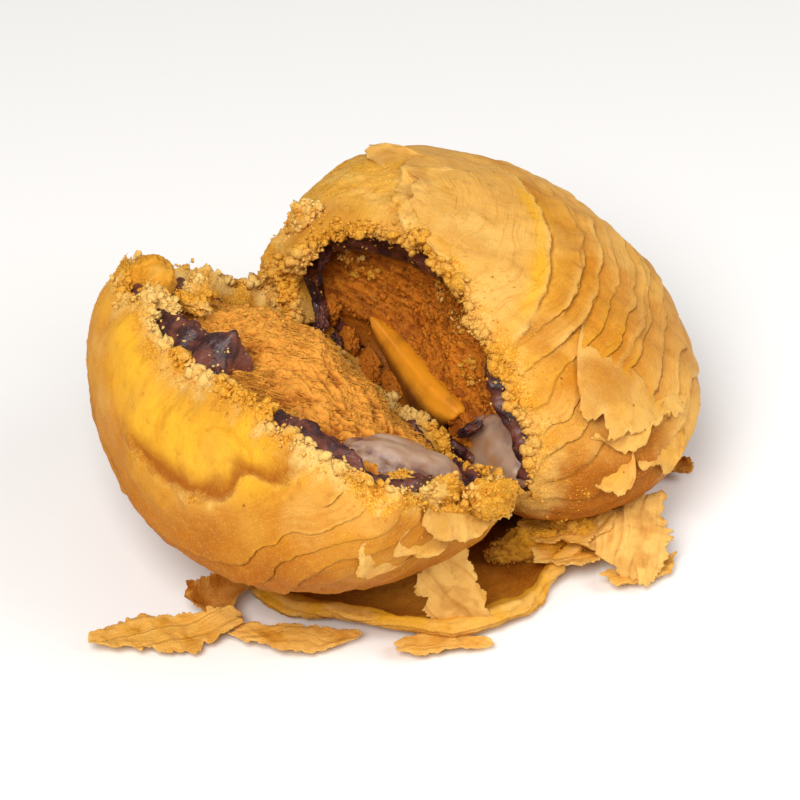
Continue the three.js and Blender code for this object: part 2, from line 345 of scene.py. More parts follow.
def rightCrustTear(y, z):
    bite = 4.5 * bump(y, 10, 5) * smoothStep(16, 21, z)
    return rightFace("crust", y, z, yolkForm["hollow"] * yolkHollow(y, z)) + ragged(y, z, 0.7) + bite


def rightPasteTear(y, z):
    return rightFace("paste", y, z, yolkForm["hollow"] * yolkHollow(y, z)) + ragged(z, y, 0.6)


def rightCoreFace(y, z):
    return rightFace("core", y, z) + ragged(y, z, 0.8)


def rightCoreTear(y, z):
    return yolkForm["hollow"] * yolkHollow(y, z) + rightCoreFace(y, z)


# The hollow that the yolk leaves: all layers of the right half recede below the yolk's line.
yolkForm = {"start": (8.4, 9.0), "stop": (-9.4, 9.4), "dip": 1.6, "thin": 0.8, "thick": 2.5, "depth": 2.6,
            "columns": 140, "rows": 90, "hollow": 5.0, "slope": 6.0, "recede": 2.8}


# Height of the yolk's middle line, and its half width, at a place along the torn face.
def yolkLine(y):
    share = clipped((yolkForm["start"][0] - y) / (yolkForm["start"][0] - yolkForm["stop"][0]))
    middle = yolkForm["start"][1] + share * (yolkForm["stop"][1] - yolkForm["start"][1])
    middle = middle - 4 * yolkForm["dip"] * share * (1 - share)
    return middle, yolkForm["thin"] + (yolkForm["thick"] - yolkForm["thin"]) * share ** 1.1


# 1 where the hollow is fully deep: below the yolk's line, between its ends.
def yolkHollow(y, z):
    middle, width = yolkLine(y)
    across = smoothStep(-12, -7, y) * smoothStep(13, 8, y)
    return smoothStep(0.3, -1.8, z - middle + 0.5 * width) * across


# Swells and dips of the left half's torn faces: depth (a swell is negative), middle and width along the
# tear, middle and width upwards.
leftSwells = {"crust": (-4.2, -21, 6, 16, 11), "end": (2.6, -20.5, 3.5, 29.5, 3), "brow": (2.4, -5, 5, 32, 4),
              "paste": (-3.2, -17, 6, 20, 8), "core": (-6.2, -4, 14, 14, 9)}


# The product of a bell along the tear and one upwards.
def swelling(name, y, z):
    depth, middle, width, height, tall = leftSwells[name]
    return depth * bump(y, middle, width) * bump(z, height, tall)


def leftCrustTear(y, z):
    return swelling("crust", y, z) + ragged(y, z, 0.7) + (swelling("end", y, z) + swelling("brow", y, z))


def leftPasteTear(y, z):
    return 0.9 + swelling("paste", y, z) + ragged(z, y, 0.6)


def leftCoreTear(y, z):
    return 1.4 + swelling("core", y, z) + ragged(y, z, 0.7)


# A tear with crumbly detail: finer noise on top of its waves, strongest where crumbs break away.
def crumbly(tear, size, amount, seed):
    def surface(y, z):
        return tear(y, z) + amount * fractal(pointsOf(0 * y, y, z) + 7.3, size, 4, seed, 0.6)
    return surface


# Where the dome meets a tear in every half plane round the X axis: halving on the angle from +X.
def tornRim(half, centre, phi, inset, tear):
    low, high = np.zeros_like(phi), np.full_like(phi, np.pi)
    for _ in range(26):
        middle = (low + high) / 2
        around = fanOut(middle, phi)
        spot = centre + reach(half, centre, around, inset)[..., None] * around
        kept = spot[..., 0] > tear(spot[..., 1], spot[..., 2])
        low, high = np.where(kept, middle, low), np.where(kept, high, middle)
    return low


# Surface rows of a dome from the deep pole (share 0) to the torn rim (share 1).
def domeRows(half, centre, phi, inset, rimAngle, shares):
    alpha = shares[:, None] * rimAngle[None, :]
    around = fanOut(alpha, phi[None, :])
    return centre + reach(half, centre, around, inset)[..., None] * around, around


# The point on the tear that a half's rings turn about: 1 mm under the shoulder.
def tornCentre(half):
    return np.array([0.0, 0.0, half["shoulder"] - 1])


# The dome's furthest point straight back from that centre, which closes its first ring.
def deepPole(half, inset):
    centre = tornCentre(half)
    way = np.array([[1.0, 0, 0]])
    return centre + reach(half, centre, way, inset)[:, None] * way


# A socket that can be added, multiplied and so on: each step adds a Math node.
class Value:
    def __init__(self, shader, socket):
        self.shader, self.socket = shader, socket

    def math(self, operation, first, second):
        return self.shader.node("ShaderNodeMath", {"operation": operation}, {0: first, 1: second})

    def __add__(self, other):
        return self.math("ADD", self, other)

    def __radd__(self, other):
        return self.math("ADD", other, self)

    def __sub__(self, other):
        return self.math("SUBTRACT", self, other)

    def __rsub__(self, other):
        return self.math("SUBTRACT", other, self)

    def __mul__(self, other):
        return self.math("MULTIPLY", self, other)

    def __rmul__(self, other):
        return self.math("MULTIPLY", other, self)

    def fraction(self):
        return self.math("FRACT", self, 0.0)

    # Smooth step from 0 at low to 1 at high.
    def window(self, low, high):
        settings = {"interpolation_type": "SMOOTHSTEP"}
        return self.shader.node("ShaderNodeMapRange", settings, {"Value": self, 1: low, 2: high})


# A material; what is the same all over goes straight to the shader's own sockets.
class Shader:
    def __init__(self, name, **constants):
        self.material = bpy.data.materials.new(name)
        self.material.use_nodes = True
        self.tree = self.material.node_tree
        self.surface = self.tree.nodes["Principled BSDF"]
        self.place = self.node("ShaderNodeTexCoord", {}, {}, "Object")
        for socket, value in constants.items():
            self.surface.inputs[socket.replace("_", " ")].default_value = value

    def node(self, kind, settings, inputs, output=0):
        made = self.tree.nodes.new(kind)
        for setting, value in settings.items():
            setattr(made, setting, value)
        for socket, value in inputs.items():
            if isinstance(value, Value):
                self.tree.links.new(value.socket, made.inputs[socket])
            else:
                made.inputs[socket].default_value = value
        return Value(self, made.outputs[output])

    # A value that the mesh carries at each point.
    def mark(self, name):
        return self.node("ShaderNodeAttribute", {"attribute_name": name}, {}, "Fac")

    # Noise with features of a size in millimetres, about 0 to 1.
    def noise(self, size, detail=3.0, roughness=0.55):
        inputs = {"Vector": self.place, "Scale": 1 / (size * mm), "Detail": detail, "Roughness": roughness}
        return self.node("ShaderNodeTexNoise", {}, inputs)

    # Noise drawn out: fine along a given value, with features of a size in millimetres across it.
    def drawnNoise(self, along, size):
        spread = self.node("ShaderNodeVectorMath", {"operation": "SCALE"}, {0: self.place, "Scale": 1 / (size * mm)})
        shift = self.node("ShaderNodeCombineXYZ", {}, {0: along})
        place = self.node("ShaderNodeVectorMath", {"operation": "ADD"}, {0: spread, 1: shift})
        return self.node("ShaderNodeTexNoise", {}, {"Vector": place, "Scale": 1.0, "Detail": 3.0})

    # Cells of a size in millimetres: distance to the nearest centre, 0 at the centre.
    def cells(self, size):
        return self.node("ShaderNodeTexVoronoi", {}, {"Vector": self.place, "Scale": 1 / (size * mm)}, "Distance")

    # First colour where the factor is 0, second where it is 1.
    def mix(self, factor, first, second):
        colours = {slot: value if isinstance(value, Value) else (*value, 1)
                   for slot, value in ((6, first), (7, second))}
        return self.node("ShaderNodeMix", {"data_type": "RGBA"}, {0: factor, **colours}, 2)

    # Normal of a height, as relief of a depth in millimetres.
    def bump(self, height, distance, strength):
        return self.node("ShaderNodeBump", {}, {"Height": height, "Distance": distance * mm, "Strength": strength})

    def finish(self, colour, roughness, normal):
        for socket, value in (("Base Color", colour), ("Roughness", roughness), ("Normal", normal)):
            self.tree.links.new(value.socket, self.surface.inputs[socket])
        return self.material


crustColours = {
    "golden": (0.69, 0.305, 0.034), "deep": (0.57, 0.195, 0.009), "yolkWashAndLight": (0.87, 0.44, 0.026),
    "pale": (0.86, 0.50, 0.13), "light": (0.82, 0.38, 0.02), "toasted": (0.38, 0.105, 0.005),
    "crumb": (0.90, 0.50, 0.075), "crumbDeep": (0.68, 0.26, 0.014), "cream": (0.94, 0.66, 0.23),
    "crack": (0.34, 0.105, 0.005), "speck": (0.22, 0.06, 0.01),
}


# Baked crust: golden to deep in slow clouds, washed with yolk where glazed, fine drawn lines and grain,
# a painted highlight on the brow and a painted shadow at the foot of every layer's step, painted shade in creases, and
# loose crumb where it is torn.
def crustFinish(name, subsurface):
    look = crustColours
    shader = Shader(name, Subsurface_Weight=subsurface, Subsurface_Radius=(1.0, 0.45, 0.08),
                    Subsurface_Scale=0.0005, IOR=1.4, Specular_IOR_Level=0.09)
    crumb, crease, toast = shader.mark("crumb"), shader.mark("crease"), shader.mark("toast")
    clouds, mottle, grain = shader.noise(7, 4), shader.noise(1.4, 5, 0.65), shader.noise(0.22, 3, 0.7)
    phase, spacing, layered = shader.mark("phase"), shader.mark("spacing"), shader.mark("layered")
    lines = shader.drawnNoise(phase * 9, 7)
    ragged = phase + (shader.noise(0.9, 4, 0.65) - 0.5) * 0.12 * layered
    share = ragged.fraction()
    away = share * spacing
    # Painted shadow at the foot of each layer's step and just before it; painted highlight on the brow past it.
    stepShadow = away.window(0.28, 0.04) * layered + (1 - share).window(0.05, 0.0) * layered
    brow = away.window(1.4, 0.25) * layered
    colour = shader.mix(clouds.window(0.35, 0.68), look["golden"], look["deep"])
    colour = shader.mix(shader.mark("glaze"), colour, look["yolkWashAndLight"])
    colour = shader.mix(shader.mark("pale"), colour, look["pale"])
    light = shader.mix(shader.mark("pale").window(0.0, 0.5), look["light"], look["pale"])
    colour = shader.mix(lines.window(0.52, 0.72) * 0.4, colour, look["deep"])
    colour = shader.mix(lines.window(0.46, 0.3) * 0.3, colour, light)
    # Painted highlight on each step's brow.
    colour = shader.mix(brow * 0.5, colour, light)
    # Painted shade deepening down each layer towards its step.
    colour = shader.mix(share.window(0.35, 1.0) * layered * 0.4, colour, look["deep"])
    # The toast mark is real toasting and painted shade: undersides, lower walls and grooves.
    colour = shader.mix(toast, colour, look["toasted"])
    colour = shader.mix(mottle.window(0.5, 0.75) * 0.35, colour, look["toasted"])
    colour = shader.mix(grain.window(0.5, 0.72) * (0.36 - shader.mark("glaze") * 0.2), colour, look["pale"])
    colour = shader.mix(mottle.window(0.48, 0.28) * 0.2, colour, light)
    loose = shader.mix(grain.window(0.42, 0.62), look["crumbDeep"], look["crumb"])
    creamy = shader.noise(5, 3).window(0.4, 0.62) * (0.8 - shader.mark("glaze") * 0.7)
    loose = shader.mix(creamy, loose, look["cream"])
    colour = shader.mix(crumb, colour, loose)
    specks = shader.cells(2.6).window(0.085, 0.05) * shader.noise(5, 1).window(0.5, 0.6) * (1 - crumb)
    colour = shader.mix(specks * 0.8, colour, look["speck"])
    # Painted shade in the creases and at the foot of each step.
    colour = shader.mix(crease, colour, look["crack"])
    colour = shader.mix(stepShadow * 0.7, colour, look["crack"])
    steps = away.window(0, 0.3) * (1 - share) * layered
    height = grain * (0.75 + crumb * 0.5) + mottle * 0.5 + lines * 0.7 * (1 - crumb) + shader.noise(0.6, 2) * crumb
    height = height + steps * 2.4
    roughness = 0.5 + crumb * 0.3 + crease * 0.2 + mottle.window(0.4, 0.7) * 0.1
    return shader.finish(colour, roughness, shader.bump(height, 0.24, 0.8))


pasteColours = {"dark": (0.040, 0.011, 0.012), "warm": (0.16, 0.045, 0.028), "dusty": (0.36, 0.18, 0.12)}


# Bean paste: dark and warm lumps, dusty on the grain, and moist.
def pasteFinish():
    shader = Shader("bean paste", Subsurface_Weight=0.08, Subsurface_Radius=(1.0, 0.3, 0.2),
                    Subsurface_Scale=0.0008, Coat_Roughness=0.25)
    lumps, grain = shader.noise(2.4, 4), shader.noise(0.4, 3, 0.7)
    colour = shader.mix(lumps.window(0.42, 0.62), pasteColours["dark"], pasteColours["warm"])
    colour = shader.mix(grain.window(0.6, 0.78) * 0.4, colour, pasteColours["dusty"])
    height = lumps * 0.8 + grain * 0.5
    return shader.finish(colour, 0.28 + grain.window(0.45, 0.7) * 0.3, shader.bump(height, 0.3, 0.8))


flossColours = {
    "deep": (0.28, 0.065, 0.005), "amber": (0.68, 0.20, 0.008), "tan": (0.80, 0.34, 0.045),
    "straw": (0.92, 0.54, 0.18), "glow": (0.34, 0.10, 0.007),
}


# Meat floss: deep between the strands and in sunken grains, which is painted shade; amber and tan on the strands,
# straw-coloured grains, and a darker painted shade where the face lies smooth, in and by the yolk's hollow and where
# the left face falls back.
def flossFinish(name, tanShare):
    look = flossColours
    shader = Shader(name, Subsurface_Weight=0.15, Subsurface_Radius=(1.0, 0.35, 0.06), Subsurface_Scale=0.0003,
                    Specular_IOR_Level=0.15)
    strands, grain, smooth = shader.mark("strand"), shader.noise(0.35, 4, 0.7), shader.mark("smooth")
    clouds = shader.noise(4, 3)
    colour = shader.mix(strands, look["deep"], look["amber"])
    colour = shader.mix((strands * 0.7 + clouds * 0.8).window(0.4, 0.9) * tanShare, colour, look["tan"])
    colour = shader.mix(grain.window(0.56, 0.76) * shader.mark("straw"), colour, look["straw"])
    # Painted shade in the low points of the grain.
    colour = shader.mix(grain.window(0.42, 0.3) * 0.5, colour, look["deep"])
    # Painted shade where the face is smooth.
    colour = shader.mix(smooth * 0.85, colour, look["glow"])
    height = (grain + shader.noise(0.9, 4)) * (1 - smooth * 0.8)
    return shader.finish(colour, 0.62 + grain * 0.2 - smooth * 0.25, shader.bump(height, 0.28, 0.9))


mochiColours = {"milky": (0.44, 0.29, 0.20), "amber": (0.38, 0.18, 0.07), "plum": (0.14, 0.05, 0.04)}


# Mochi: milky, amber in clouds, plum where paste shows through at its edge.
def mochiFinish():
    look = mochiColours
    shader = Shader("mochi", Subsurface_Weight=0.5, Subsurface_Radius=(1.0, 0.6, 0.42),
                    Subsurface_Scale=0.002, Coat_Weight=0.2, Coat_Roughness=0.25)
    clouds, veil = shader.noise(4.5, 2), shader.noise(1.6, 3)
    colour = shader.mix(clouds.window(0.4, 0.7), look["milky"], look["amber"])
    colour = shader.mix(shader.mark("edge") * veil.window(0.3, 0.7), colour, look["plum"])
    return shader.finish(colour, 0.3 + veil * 0.25, shader.bump(clouds + veil * 0.3, 0.25, 0.4))


yolkColours = {"bright": (0.82, 0.31, 0.012), "deep": (0.24, 0.062, 0.004)}


# Salted yolk: bright orange at its edge, and deep brown inside, which is painted shade in the hollow.
def yolkFinish():
    shader = Shader("salted yolk", Subsurface_Weight=0.3, Subsurface_Radius=(1.0, 0.4, 0.08),
                    Subsurface_Scale=0.0012, Specular_IOR_Level=0.3)
    clouds, grain = shader.noise(3, 4), shader.noise(0.3, 3)
    colour = shader.mix(shader.mark("inside") * 0.85 + clouds.window(0.45, 0.7) * 0.3, yolkColours["bright"],
                        yolkColours["deep"])
    return shader.finish(colour, 0.45 + grain * 0.2, shader.bump(clouds + grain * 0.6, 0.15, 0.5))


crustBake = crustFinish("baked crust", 0.12), "baked_crust"
crumbBake = crustFinish("crumbly crust", 0.0), "baked_crust"
pasteLook = pasteFinish(), "bean_paste"
leftFloss = flossFinish("golden floss", 1.0), "meat_floss"
rightFloss = flossFinish("amber floss", 0.12), "meat_floss"
mochiLook = mochiFinish(), "mochi"
yolkLook = yolkFinish(), "salted_yolk"
print("finishes made")


# Where the paste is thicker: angle round the tear, its width in degrees, extra depth and how far it bulges.
rightHalf["thickPaste"] = [(45, 26, 3.4, 0.9), (85, 26, 2.4, 0.5), (163, 18, 3.4, 2.8), (-50, 36, -2.9, -3.5)]
leftHalf["thickPaste"] = [(118, 19, 4.4, 4.2), (150, 12, 1.8, 1.4), (14, 20, 1.7, 1.7), (-14, 14, 1.2, 1.1),
                          (65, 38, -1.6, -0.6)]


# Sum of the bells of one column: 0 for depth, 1 for bulge.
def thickPaste(half, phi, column):
    total = 0 * phi
    for middle, width, *amounts in half["thickPaste"]:
        total = total + amounts[column] * bump(degreesFrom(phi, middle), 0, width)
    return total


givingStep = {"count": 12, "deeper": 0.9, "clear": 0.3, "outside": -0.2}


# The right half gives way to the left one: x steps deeper while the point lies inside the left half.
def givingWay(tear):
    def surface(y, z):
        x = tear(y, z)
        for _ in range(givingStep["count"]):
            spot = (toTable(rightHalf, pointsOf(x, y, z)) - leftHalf["at"]) @ leftHalf["turn"]
            inCore = ~outsideDome(leftHalf, spot, walls["core"], softCorner)
            torn = leftCrustTear(spot[..., 1], spot[..., 2])
            torn = np.where(inCore, np.minimum(torn, leftCoreTear(spot[..., 1], spot[..., 2])), torn)
            inside = ((spot[..., 0] > torn - givingStep["clear"])
                      & ~outsideDome(leftHalf, spot, givingStep["outside"], softCorner))
            x = x + np.where(inside, givingStep["deeper"], 0)
        return x
    return surface


# Baked layers lie round the crown as circles whose middle drifts as they grow: |p - middle(r)| = r.
# Creases and torn sheets are parts of circles on the flat map: middle x and y, radius, first and last
# degree, side that stands proud (1 outside, -1 inside), how far it stands proud, and how ragged it is.
rightHalf["rings"] = {"middle": (-27, 17), "first": 33, "drift": (0.06, -0.04), "period": 2.9, "start": 35,
                      "seed": 21}
rightHalf["creases"] = [
    (-30.1, 14.5, 34.7, -62, 4, -1, 0.5, 0.5), (-30.7, 21.6, 43.3, -54, -12, -1, 0.45, 0.4),
    (-26.5, 19.2, 41.3, -68, -16, -1, 0.45, 0.4), (-15.2, 12.8, 36.4, -68, -10, -1, 0.45, 0.4),
]
rightHalf["sheets"] = [(30, -16, 52, 138, 176, -1, 1.0, 1.2)]
leftHalf["rings"] = {"middle": (-0.2, -0.9), "first": 24, "drift": (-0.44, -0.53), "period": 10.5, "start": 23.5,
                     "seed": 22}
leftHalf["creases"] = [(-2, 0, 29, -72, 6, 1, 0.35, 0.5), (-4, 2, 35, -70, 12, 1, 0.4, 0.5)]
leftHalf["sheets"] = [(-1, 0, 18.4, -26, 86, 1, 0.85, 1.1)]
# A notch in the edge of a torn sheet: its angle, its width in degrees and how far the edge jumps inwards.
rightHalf["notch"], leftHalf["notch"] = (0, 1, 0), (52, 9, 3.4)
# The layers' relief: height of a step, width of its edge, depth and width of an arc's groove, and how fast
# an arc's step fades away from it.
layering = {"step": 0.55, "edge": 0.5, "groove": 0.3, "grooveWidth": 0.22, "sheetGroove": 0.1, "fade": 4.0}


# Ring number of a point, and how many millimetres one ring spans there.
def ringNumber(half, flat):
    look = half["rings"]
    middle, drift = np.array(look["middle"]), np.array(look["drift"])
    radius = np.linalg.norm(flat - middle, axis=-1)
    for _ in range(22):
        spoke = flat - middle - drift * (radius - look["first"])[..., None]
        radius = np.clip(np.linalg.norm(spoke, axis=-1), 0.01, 140)
    spacing = look["period"] * (1 + spoke @ drift / radius)
    return radius / look["period"], np.maximum(spacing, 0.6)


# Saw-tooth layers: the surface rises outwards and steps down at each ring, the inner layer on top.
def layerRelief(half, flat, points):
    seed = half["rings"]["seed"]
    number, spacing = ringNumber(half, flat)
    wander = 1.9 * fractal(points, 12, 2, seed) + 0.45 * fractal(points, 3.2, 3, seed + 1, 0.6)
    phase = -number - wander / spacing
    layer = np.floor(phase)
    saw = phase - layer
    angle = np.arctan2(flat[..., 1], flat[..., 0])
    strength = smoothStep(-0.3, 0.3, fractal(pointsOf(layer * 5.3, angle * 1.6, 0 * angle), 1, 2, seed + 2))
    strength = (0.4 + 0.6 * strength) * smoothStep(0, 2, number * half["rings"]["period"] - half["rings"]["start"])
    strength = strength * smoothStep(0.7, 1.6, spacing)
    lift = layering["step"] * strength * smoothStep(0, 1, saw * spacing / layering["edge"]) * (1 - saw) ** 1.3
    return phase, spacing, strength, lift


# Relief of arcs: a step at each arc's ragged edge that fades away from it, with a groove at its foot.
def arcRelief(flat, points, arcs, seed, groove, notch):
    lift, crack, edge = np.zeros((3, *flat.shape[:-1]))
    for number, (x, y, radius, first, last, side, height, frayed) in enumerate(arcs):
        across, along = flat[..., 0] - x, flat[..., 1] - y
        wander = frayed * fractal(points, 3.6, 5, seed + number, 0.62)
        away = side * (np.hypot(across, along) - radius) + wander
        turned = degreesFrom(np.arctan2(along, across), (first + last) / 2)
        away = away + notch[2] * bump(turned + (first + last) / 2, notch[0], notch[1])
        there = smoothStep(0, 5, np.radians((last - first) / 2 - np.abs(turned)) * radius)
        there = there * (0.3 + 0.7 * smoothStep(-0.5, 0, fractal(points, 8, 2, seed + 20 + number)))
        lift += height * there * smoothStep(-0.05, 0.3, away) * np.exp(-np.maximum(away, 0) / layering["fade"])
        # The groove's mask, which also paints shade into the groove.
        cut = bump(away, -0.12, layering["grooveWidth"]) * there
        lift -= groove * cut
        crack = np.maximum(crack, cut)
        edge = np.maximum(edge, bump(away, 0.4, 0.5) * there)
    return lift, crack, edge


# Rows between the last row of an outer face and the first of an inner one, and their shares of the way.
def rowsBetween(outer, inner, count):
    share = np.linspace(0, 1, count + 2)[1:-1, None, None]
    return share, (1 - share) * outer[-1][None] + share * inner[0][None]


# The crust of a half: outer face, torn band and inner face are one closed grid about the X axis. The outer
# face is the dome plus layers, arcs, unevenness, less the chips, roughness and bevel near the torn rim.
def crustShape(half, look, paint):
    centre, seed = tornCentre(half), look["seed"]
    phi = wholeTurn(look["columns"])
    tear = crumbly(look["tear"], 3.4, look["crumble"], seed)
    outerAngle = tornRim(half, centre, phi, 0, tear)
    innerAngle = tornRim(half, centre, phi, walls["crust"], tear)

    shares = np.linspace(0.012, 1, look["outerRows"]) ** 0.92
    outer, around = domeRows(half, centre, phi, 0, outerAngle, shares)
    flat = flatMap(half, outer)
    fromRim = (1 - shares)[:, None] * (outerAngle * np.linalg.norm(outer[-1] - centre, axis=-1))[None, :]
    phase, spacing, strength, lift = layerRelief(half, flat, outer)
    arcLift, arcShadeLine, arcEdge = arcRelief(flat, outer, half["creases"], seed + 40, layering["groove"], (0, 1, 0))
    sheetLift, sheetShadeLine, sheetEdge = arcRelief(flat, outer, half["sheets"], seed + 60, layering["sheetGroove"],
                                                 half["notch"])
    uneven = fractal(outer, 10, 3, seed + 1) * look["uneven"] + fractal(outer, 2.4, 4, seed + 2) * 0.16
    chips = smoothStep(1.6, 0, fromRim) * (0.1 - 0.6 * np.abs(fractal(outer, 1.3, 3, seed + 4)))
    atFront = bump(degreesFrom(phi, look["frontAt"]), 0, look["frontWidth"])[None, :]
    edgeWidth = look["frayed"] + look["front"] * atFront
    bevel = 0.3 * edgeWidth * smoothStep(edgeWidth * 1.3, 0, fromRim + 0.5 * fractal(outer, 2.2, 3, seed + 6))
    marks, roughened = paint(flat, outer)
    rough = roughened * np.abs(fractal(outer, 1.5, 4, seed + 5, 0.65)) * 0.6
    outer = outer + around * (lift + arcLift + sheetLift + uneven + chips - rough - bevel)[..., None]
    marks.update({"phase": phase, "spacing": spacing, "layered": strength * smoothStep(0.5, 2.5, fromRim)})
    # Painted shade in each arc's groove.
    marks["crease"] = clipped(arcShadeLine * 0.65)
    # Paler on the raised edge of each arc and sheet: painted highlight, and paler torn crust where the sheet's edge
    # crumbles.
    marks["pale"] = clipped(marks["pale"] + 0.5 * arcEdge + 0.4 * sheetEdge)
    frayed = fractal(outer, 1.6, 4, seed + 7)
    torn = smoothStep(edgeWidth, 0.2, fromRim + 1.2 * frayed)
    marks["crumb"] = clipped(np.maximum(torn, 0.8 * sheetEdge) + 0.7 * roughened)
    marks["glaze"] = marks["glaze"] * (1 - torn) + look["torn"]["glaze"] * torn
    # Painted shade in the groove at the foot of the torn sheet.
    marks["toast"] = clipped(marks["toast"] + 0.5 * sheetShadeLine)

    inner, _ = domeRows(half, centre, phi, walls["crust"], innerAngle, np.linspace(0.03, 1, look["innerRows"]))
    inner = inner[::-1]
    share, band = rowsBetween(outer, inner, look["bandRows"])
    proud = 0.45 - 1.3 * np.abs(fractal(band, 1.3, 4, seed + 8, 0.65)) + 0.5 * fractal(band, 4, 2, seed + 9)
    band[..., 0] = tear(band[..., 1], band[..., 2]) - proud * np.sin(np.pi * share[..., 0]) ** 0.5
    rows = np.concatenate([outer, band, inner])
    points, polygons = closedGrid(rows, np.concatenate([deepPole(half, 0), deepPole(half, walls["crust"])]))

    allMarks = {}
    for name, values in marks.items():
        rest = np.full((look["bandRows"] + look["innerRows"]) * look["columns"], look["torn"].get(name, 0.0))
        allMarks[name] = np.concatenate([[values[0].mean()], values.ravel(), rest, [0.0]])
    shape = shapeOf(toTable(half, points), polygons, **allMarks)
    shape["band"] = toTable(half, np.concatenate([outer[-4:], band]))
    shape["edge"] = toTable(half, outer[-26:])
    shape["gilt"] = look["torn"]["glaze"]
    return shape


# Marks of the right crust: a pale sheet with a glazed streak along its far side, a pale wall at the front,
# a toasted spot, painted shade low down and at the foot; and how rough the broken patch beside the sheet is.
def paintRight(flat, points):
    x, y = flat[..., 0], flat[..., 1]
    patches = fractal(points, 11, 3, 71)
    wander = fractal(points, 3.6, 5, 161, 0.62)
    table = toTable(rightHalf, points)
    # Painted shade on the lower front, which also loses its pale.
    low = smoothStep(26, 10, table[..., 2] + 1.5 * patches) * smoothStep(33, 25, table[..., 0])
    inSheet = smoothStep(-0.2, 0.2, 52 - np.hypot(x - 30, y + 16) + wander)
    crownSide = np.hypot(x + 30.1, y - 14.5) + 0.6 * patches
    sheet = inSheet * smoothStep(35.2, 34.4, crownSide) * smoothStep(34, 26, np.hypot(x, y))
    streak = bump(crownSide, 33.2, 1.7) * smoothStep(-17, -9, y) * smoothStep(12, 6, y)
    spot = bump(np.hypot(x - 8, (y + 27) * 1.4), 0, 4.5)
    lowerWall = smoothStep(-36, -30, y) * smoothStep(-20, -24, y) * smoothStep(-12, -8, x) * smoothStep(4, 1, x)
    roughened = (1 - inSheet) * smoothStep(20, 15, np.hypot(x + 18, y - 16)) * smoothStep(-0.5, 0.3, patches)
    # Painted shade at the foot of the front flank.
    under = smoothStep(28.5, 34.5, np.hypot(x, y) + 1.5 * patches) * smoothStep(-14, -24, y) * smoothStep(16, 6, x)
    beside = (1 - inSheet) * (x < 0)
    pale = 0.55 * sheet * (1 - streak) + 0.35 * lowerWall + 0.6 * smoothStep(4, 14, x) * smoothStep(-40, -28, y)
    pale = pale + 0.3 * smoothStep(0, 0.7, fractal(points, 7, 3, 72)) + 0.25 * beside
    pale = pale + 0.45 * (1 - inSheet) * smoothStep(6, -4, y) * smoothStep(-42, -34, y)
    toast = 0.7 * spot + 0.35 * smoothStep(0.15, 0.8, -patches) * (1 - sheet)
    # Darker low down: painted shade, with real browning where the base meets the table.
    toast = toast + smoothStep(14, 5, table[..., 2]) + 0.82 * low + 0.8 * under
    glaze = streak + 0.3 * smoothStep(0.1, 0.8, patches) + 0.5 * beside
    return {"glaze": clipped(glaze), "pale": clipped(pale) * (1 - 0.7 * low), "toast": clipped(toast)}, 0.8 * roughened


# Marks of the left crust: a glazed crown with a dark line round it that is scorching and painted shade, pale patches,
# painted shade on the underside; none of it is rough.
def paintLeft(flat, points):
    x, y = flat[..., 0], flat[..., 1]
    patches = fractal(points, 10, 3, 81)
    crown = smoothStep(21, 17, np.hypot(x + 1, y) + 2 * patches)
    scar = np.hypot(x + 1, y) + 3.4 * bump(np.degrees(np.arctan2(y, x + 1)), 52, 9)
    scar = scar + 0.7 * fractal(points, 3, 4, 83)
    # A dark line inside the sheet's raised edge: real scorching and painted shade at the step.
    scorchedAndShaded = smoothStep(14.5, 18.2, scar) * smoothStep(19.2, 18.6, scar) * smoothStep(4, 14, x + y)
    # Painted shade on the underside: darker and without pale.
    height = toTable(leftHalf, points)[..., 2] + 1.5 * patches
    under = smoothStep(27, 12, height)
    glaze = 0.85 * crown * (0.75 + 0.5 * patches) + 0.35 * smoothStep(0, 0.6, patches)
    pale = (0.34 - 0.26 * crown) * (1 - under) * smoothStep(-0.3, 0.6, fractal(points, 7, 3, 82))
    toast = 0.95 * scorchedAndShaded + 0.25 * smoothStep(0.1, 0.8, -patches) + 0.74 * under
    return {"glaze": clipped(glaze), "pale": clipped(pale), "toast": clipped(toast)}, 0 * x


# "frayed" is the width of the torn rim's loose crumb, and "front" what is added round the angle "frontAt".
crustGrid = {"columns": 460, "outerRows": 172, "bandRows": 13, "innerRows": 6, "crumble": 1.1, "frontWidth": 70}
rightCrustLook = {**crustGrid, "tear": givingWay(rightCrustTear), "seed": 101, "uneven": 0.5,
                  "frayed": 1.2, "front": 4.2, "frontAt": 178, "torn": {"crumb": 1.0, "glaze": 0.7}}
leftCrustLook = {**crustGrid, "tear": leftCrustTear, "seed": 201, "uneven": 0.45,
                 "frayed": 1.6, "front": 3.0, "frontAt": 115, "torn": {"crumb": 1.0, "glaze": 0.1}}
rightHalf["crust"] = crustShape(rightHalf, rightCrustLook, paintRight)
makePiece("crustRight", rightHalf["crust"], crustBake, ["crust_right"])
leftHalf["crust"] = crustShape(leftHalf, leftCrustLook, paintLeft)
makePiece("crustLeft", leftHalf["crust"], crustBake, ["crust_left"])


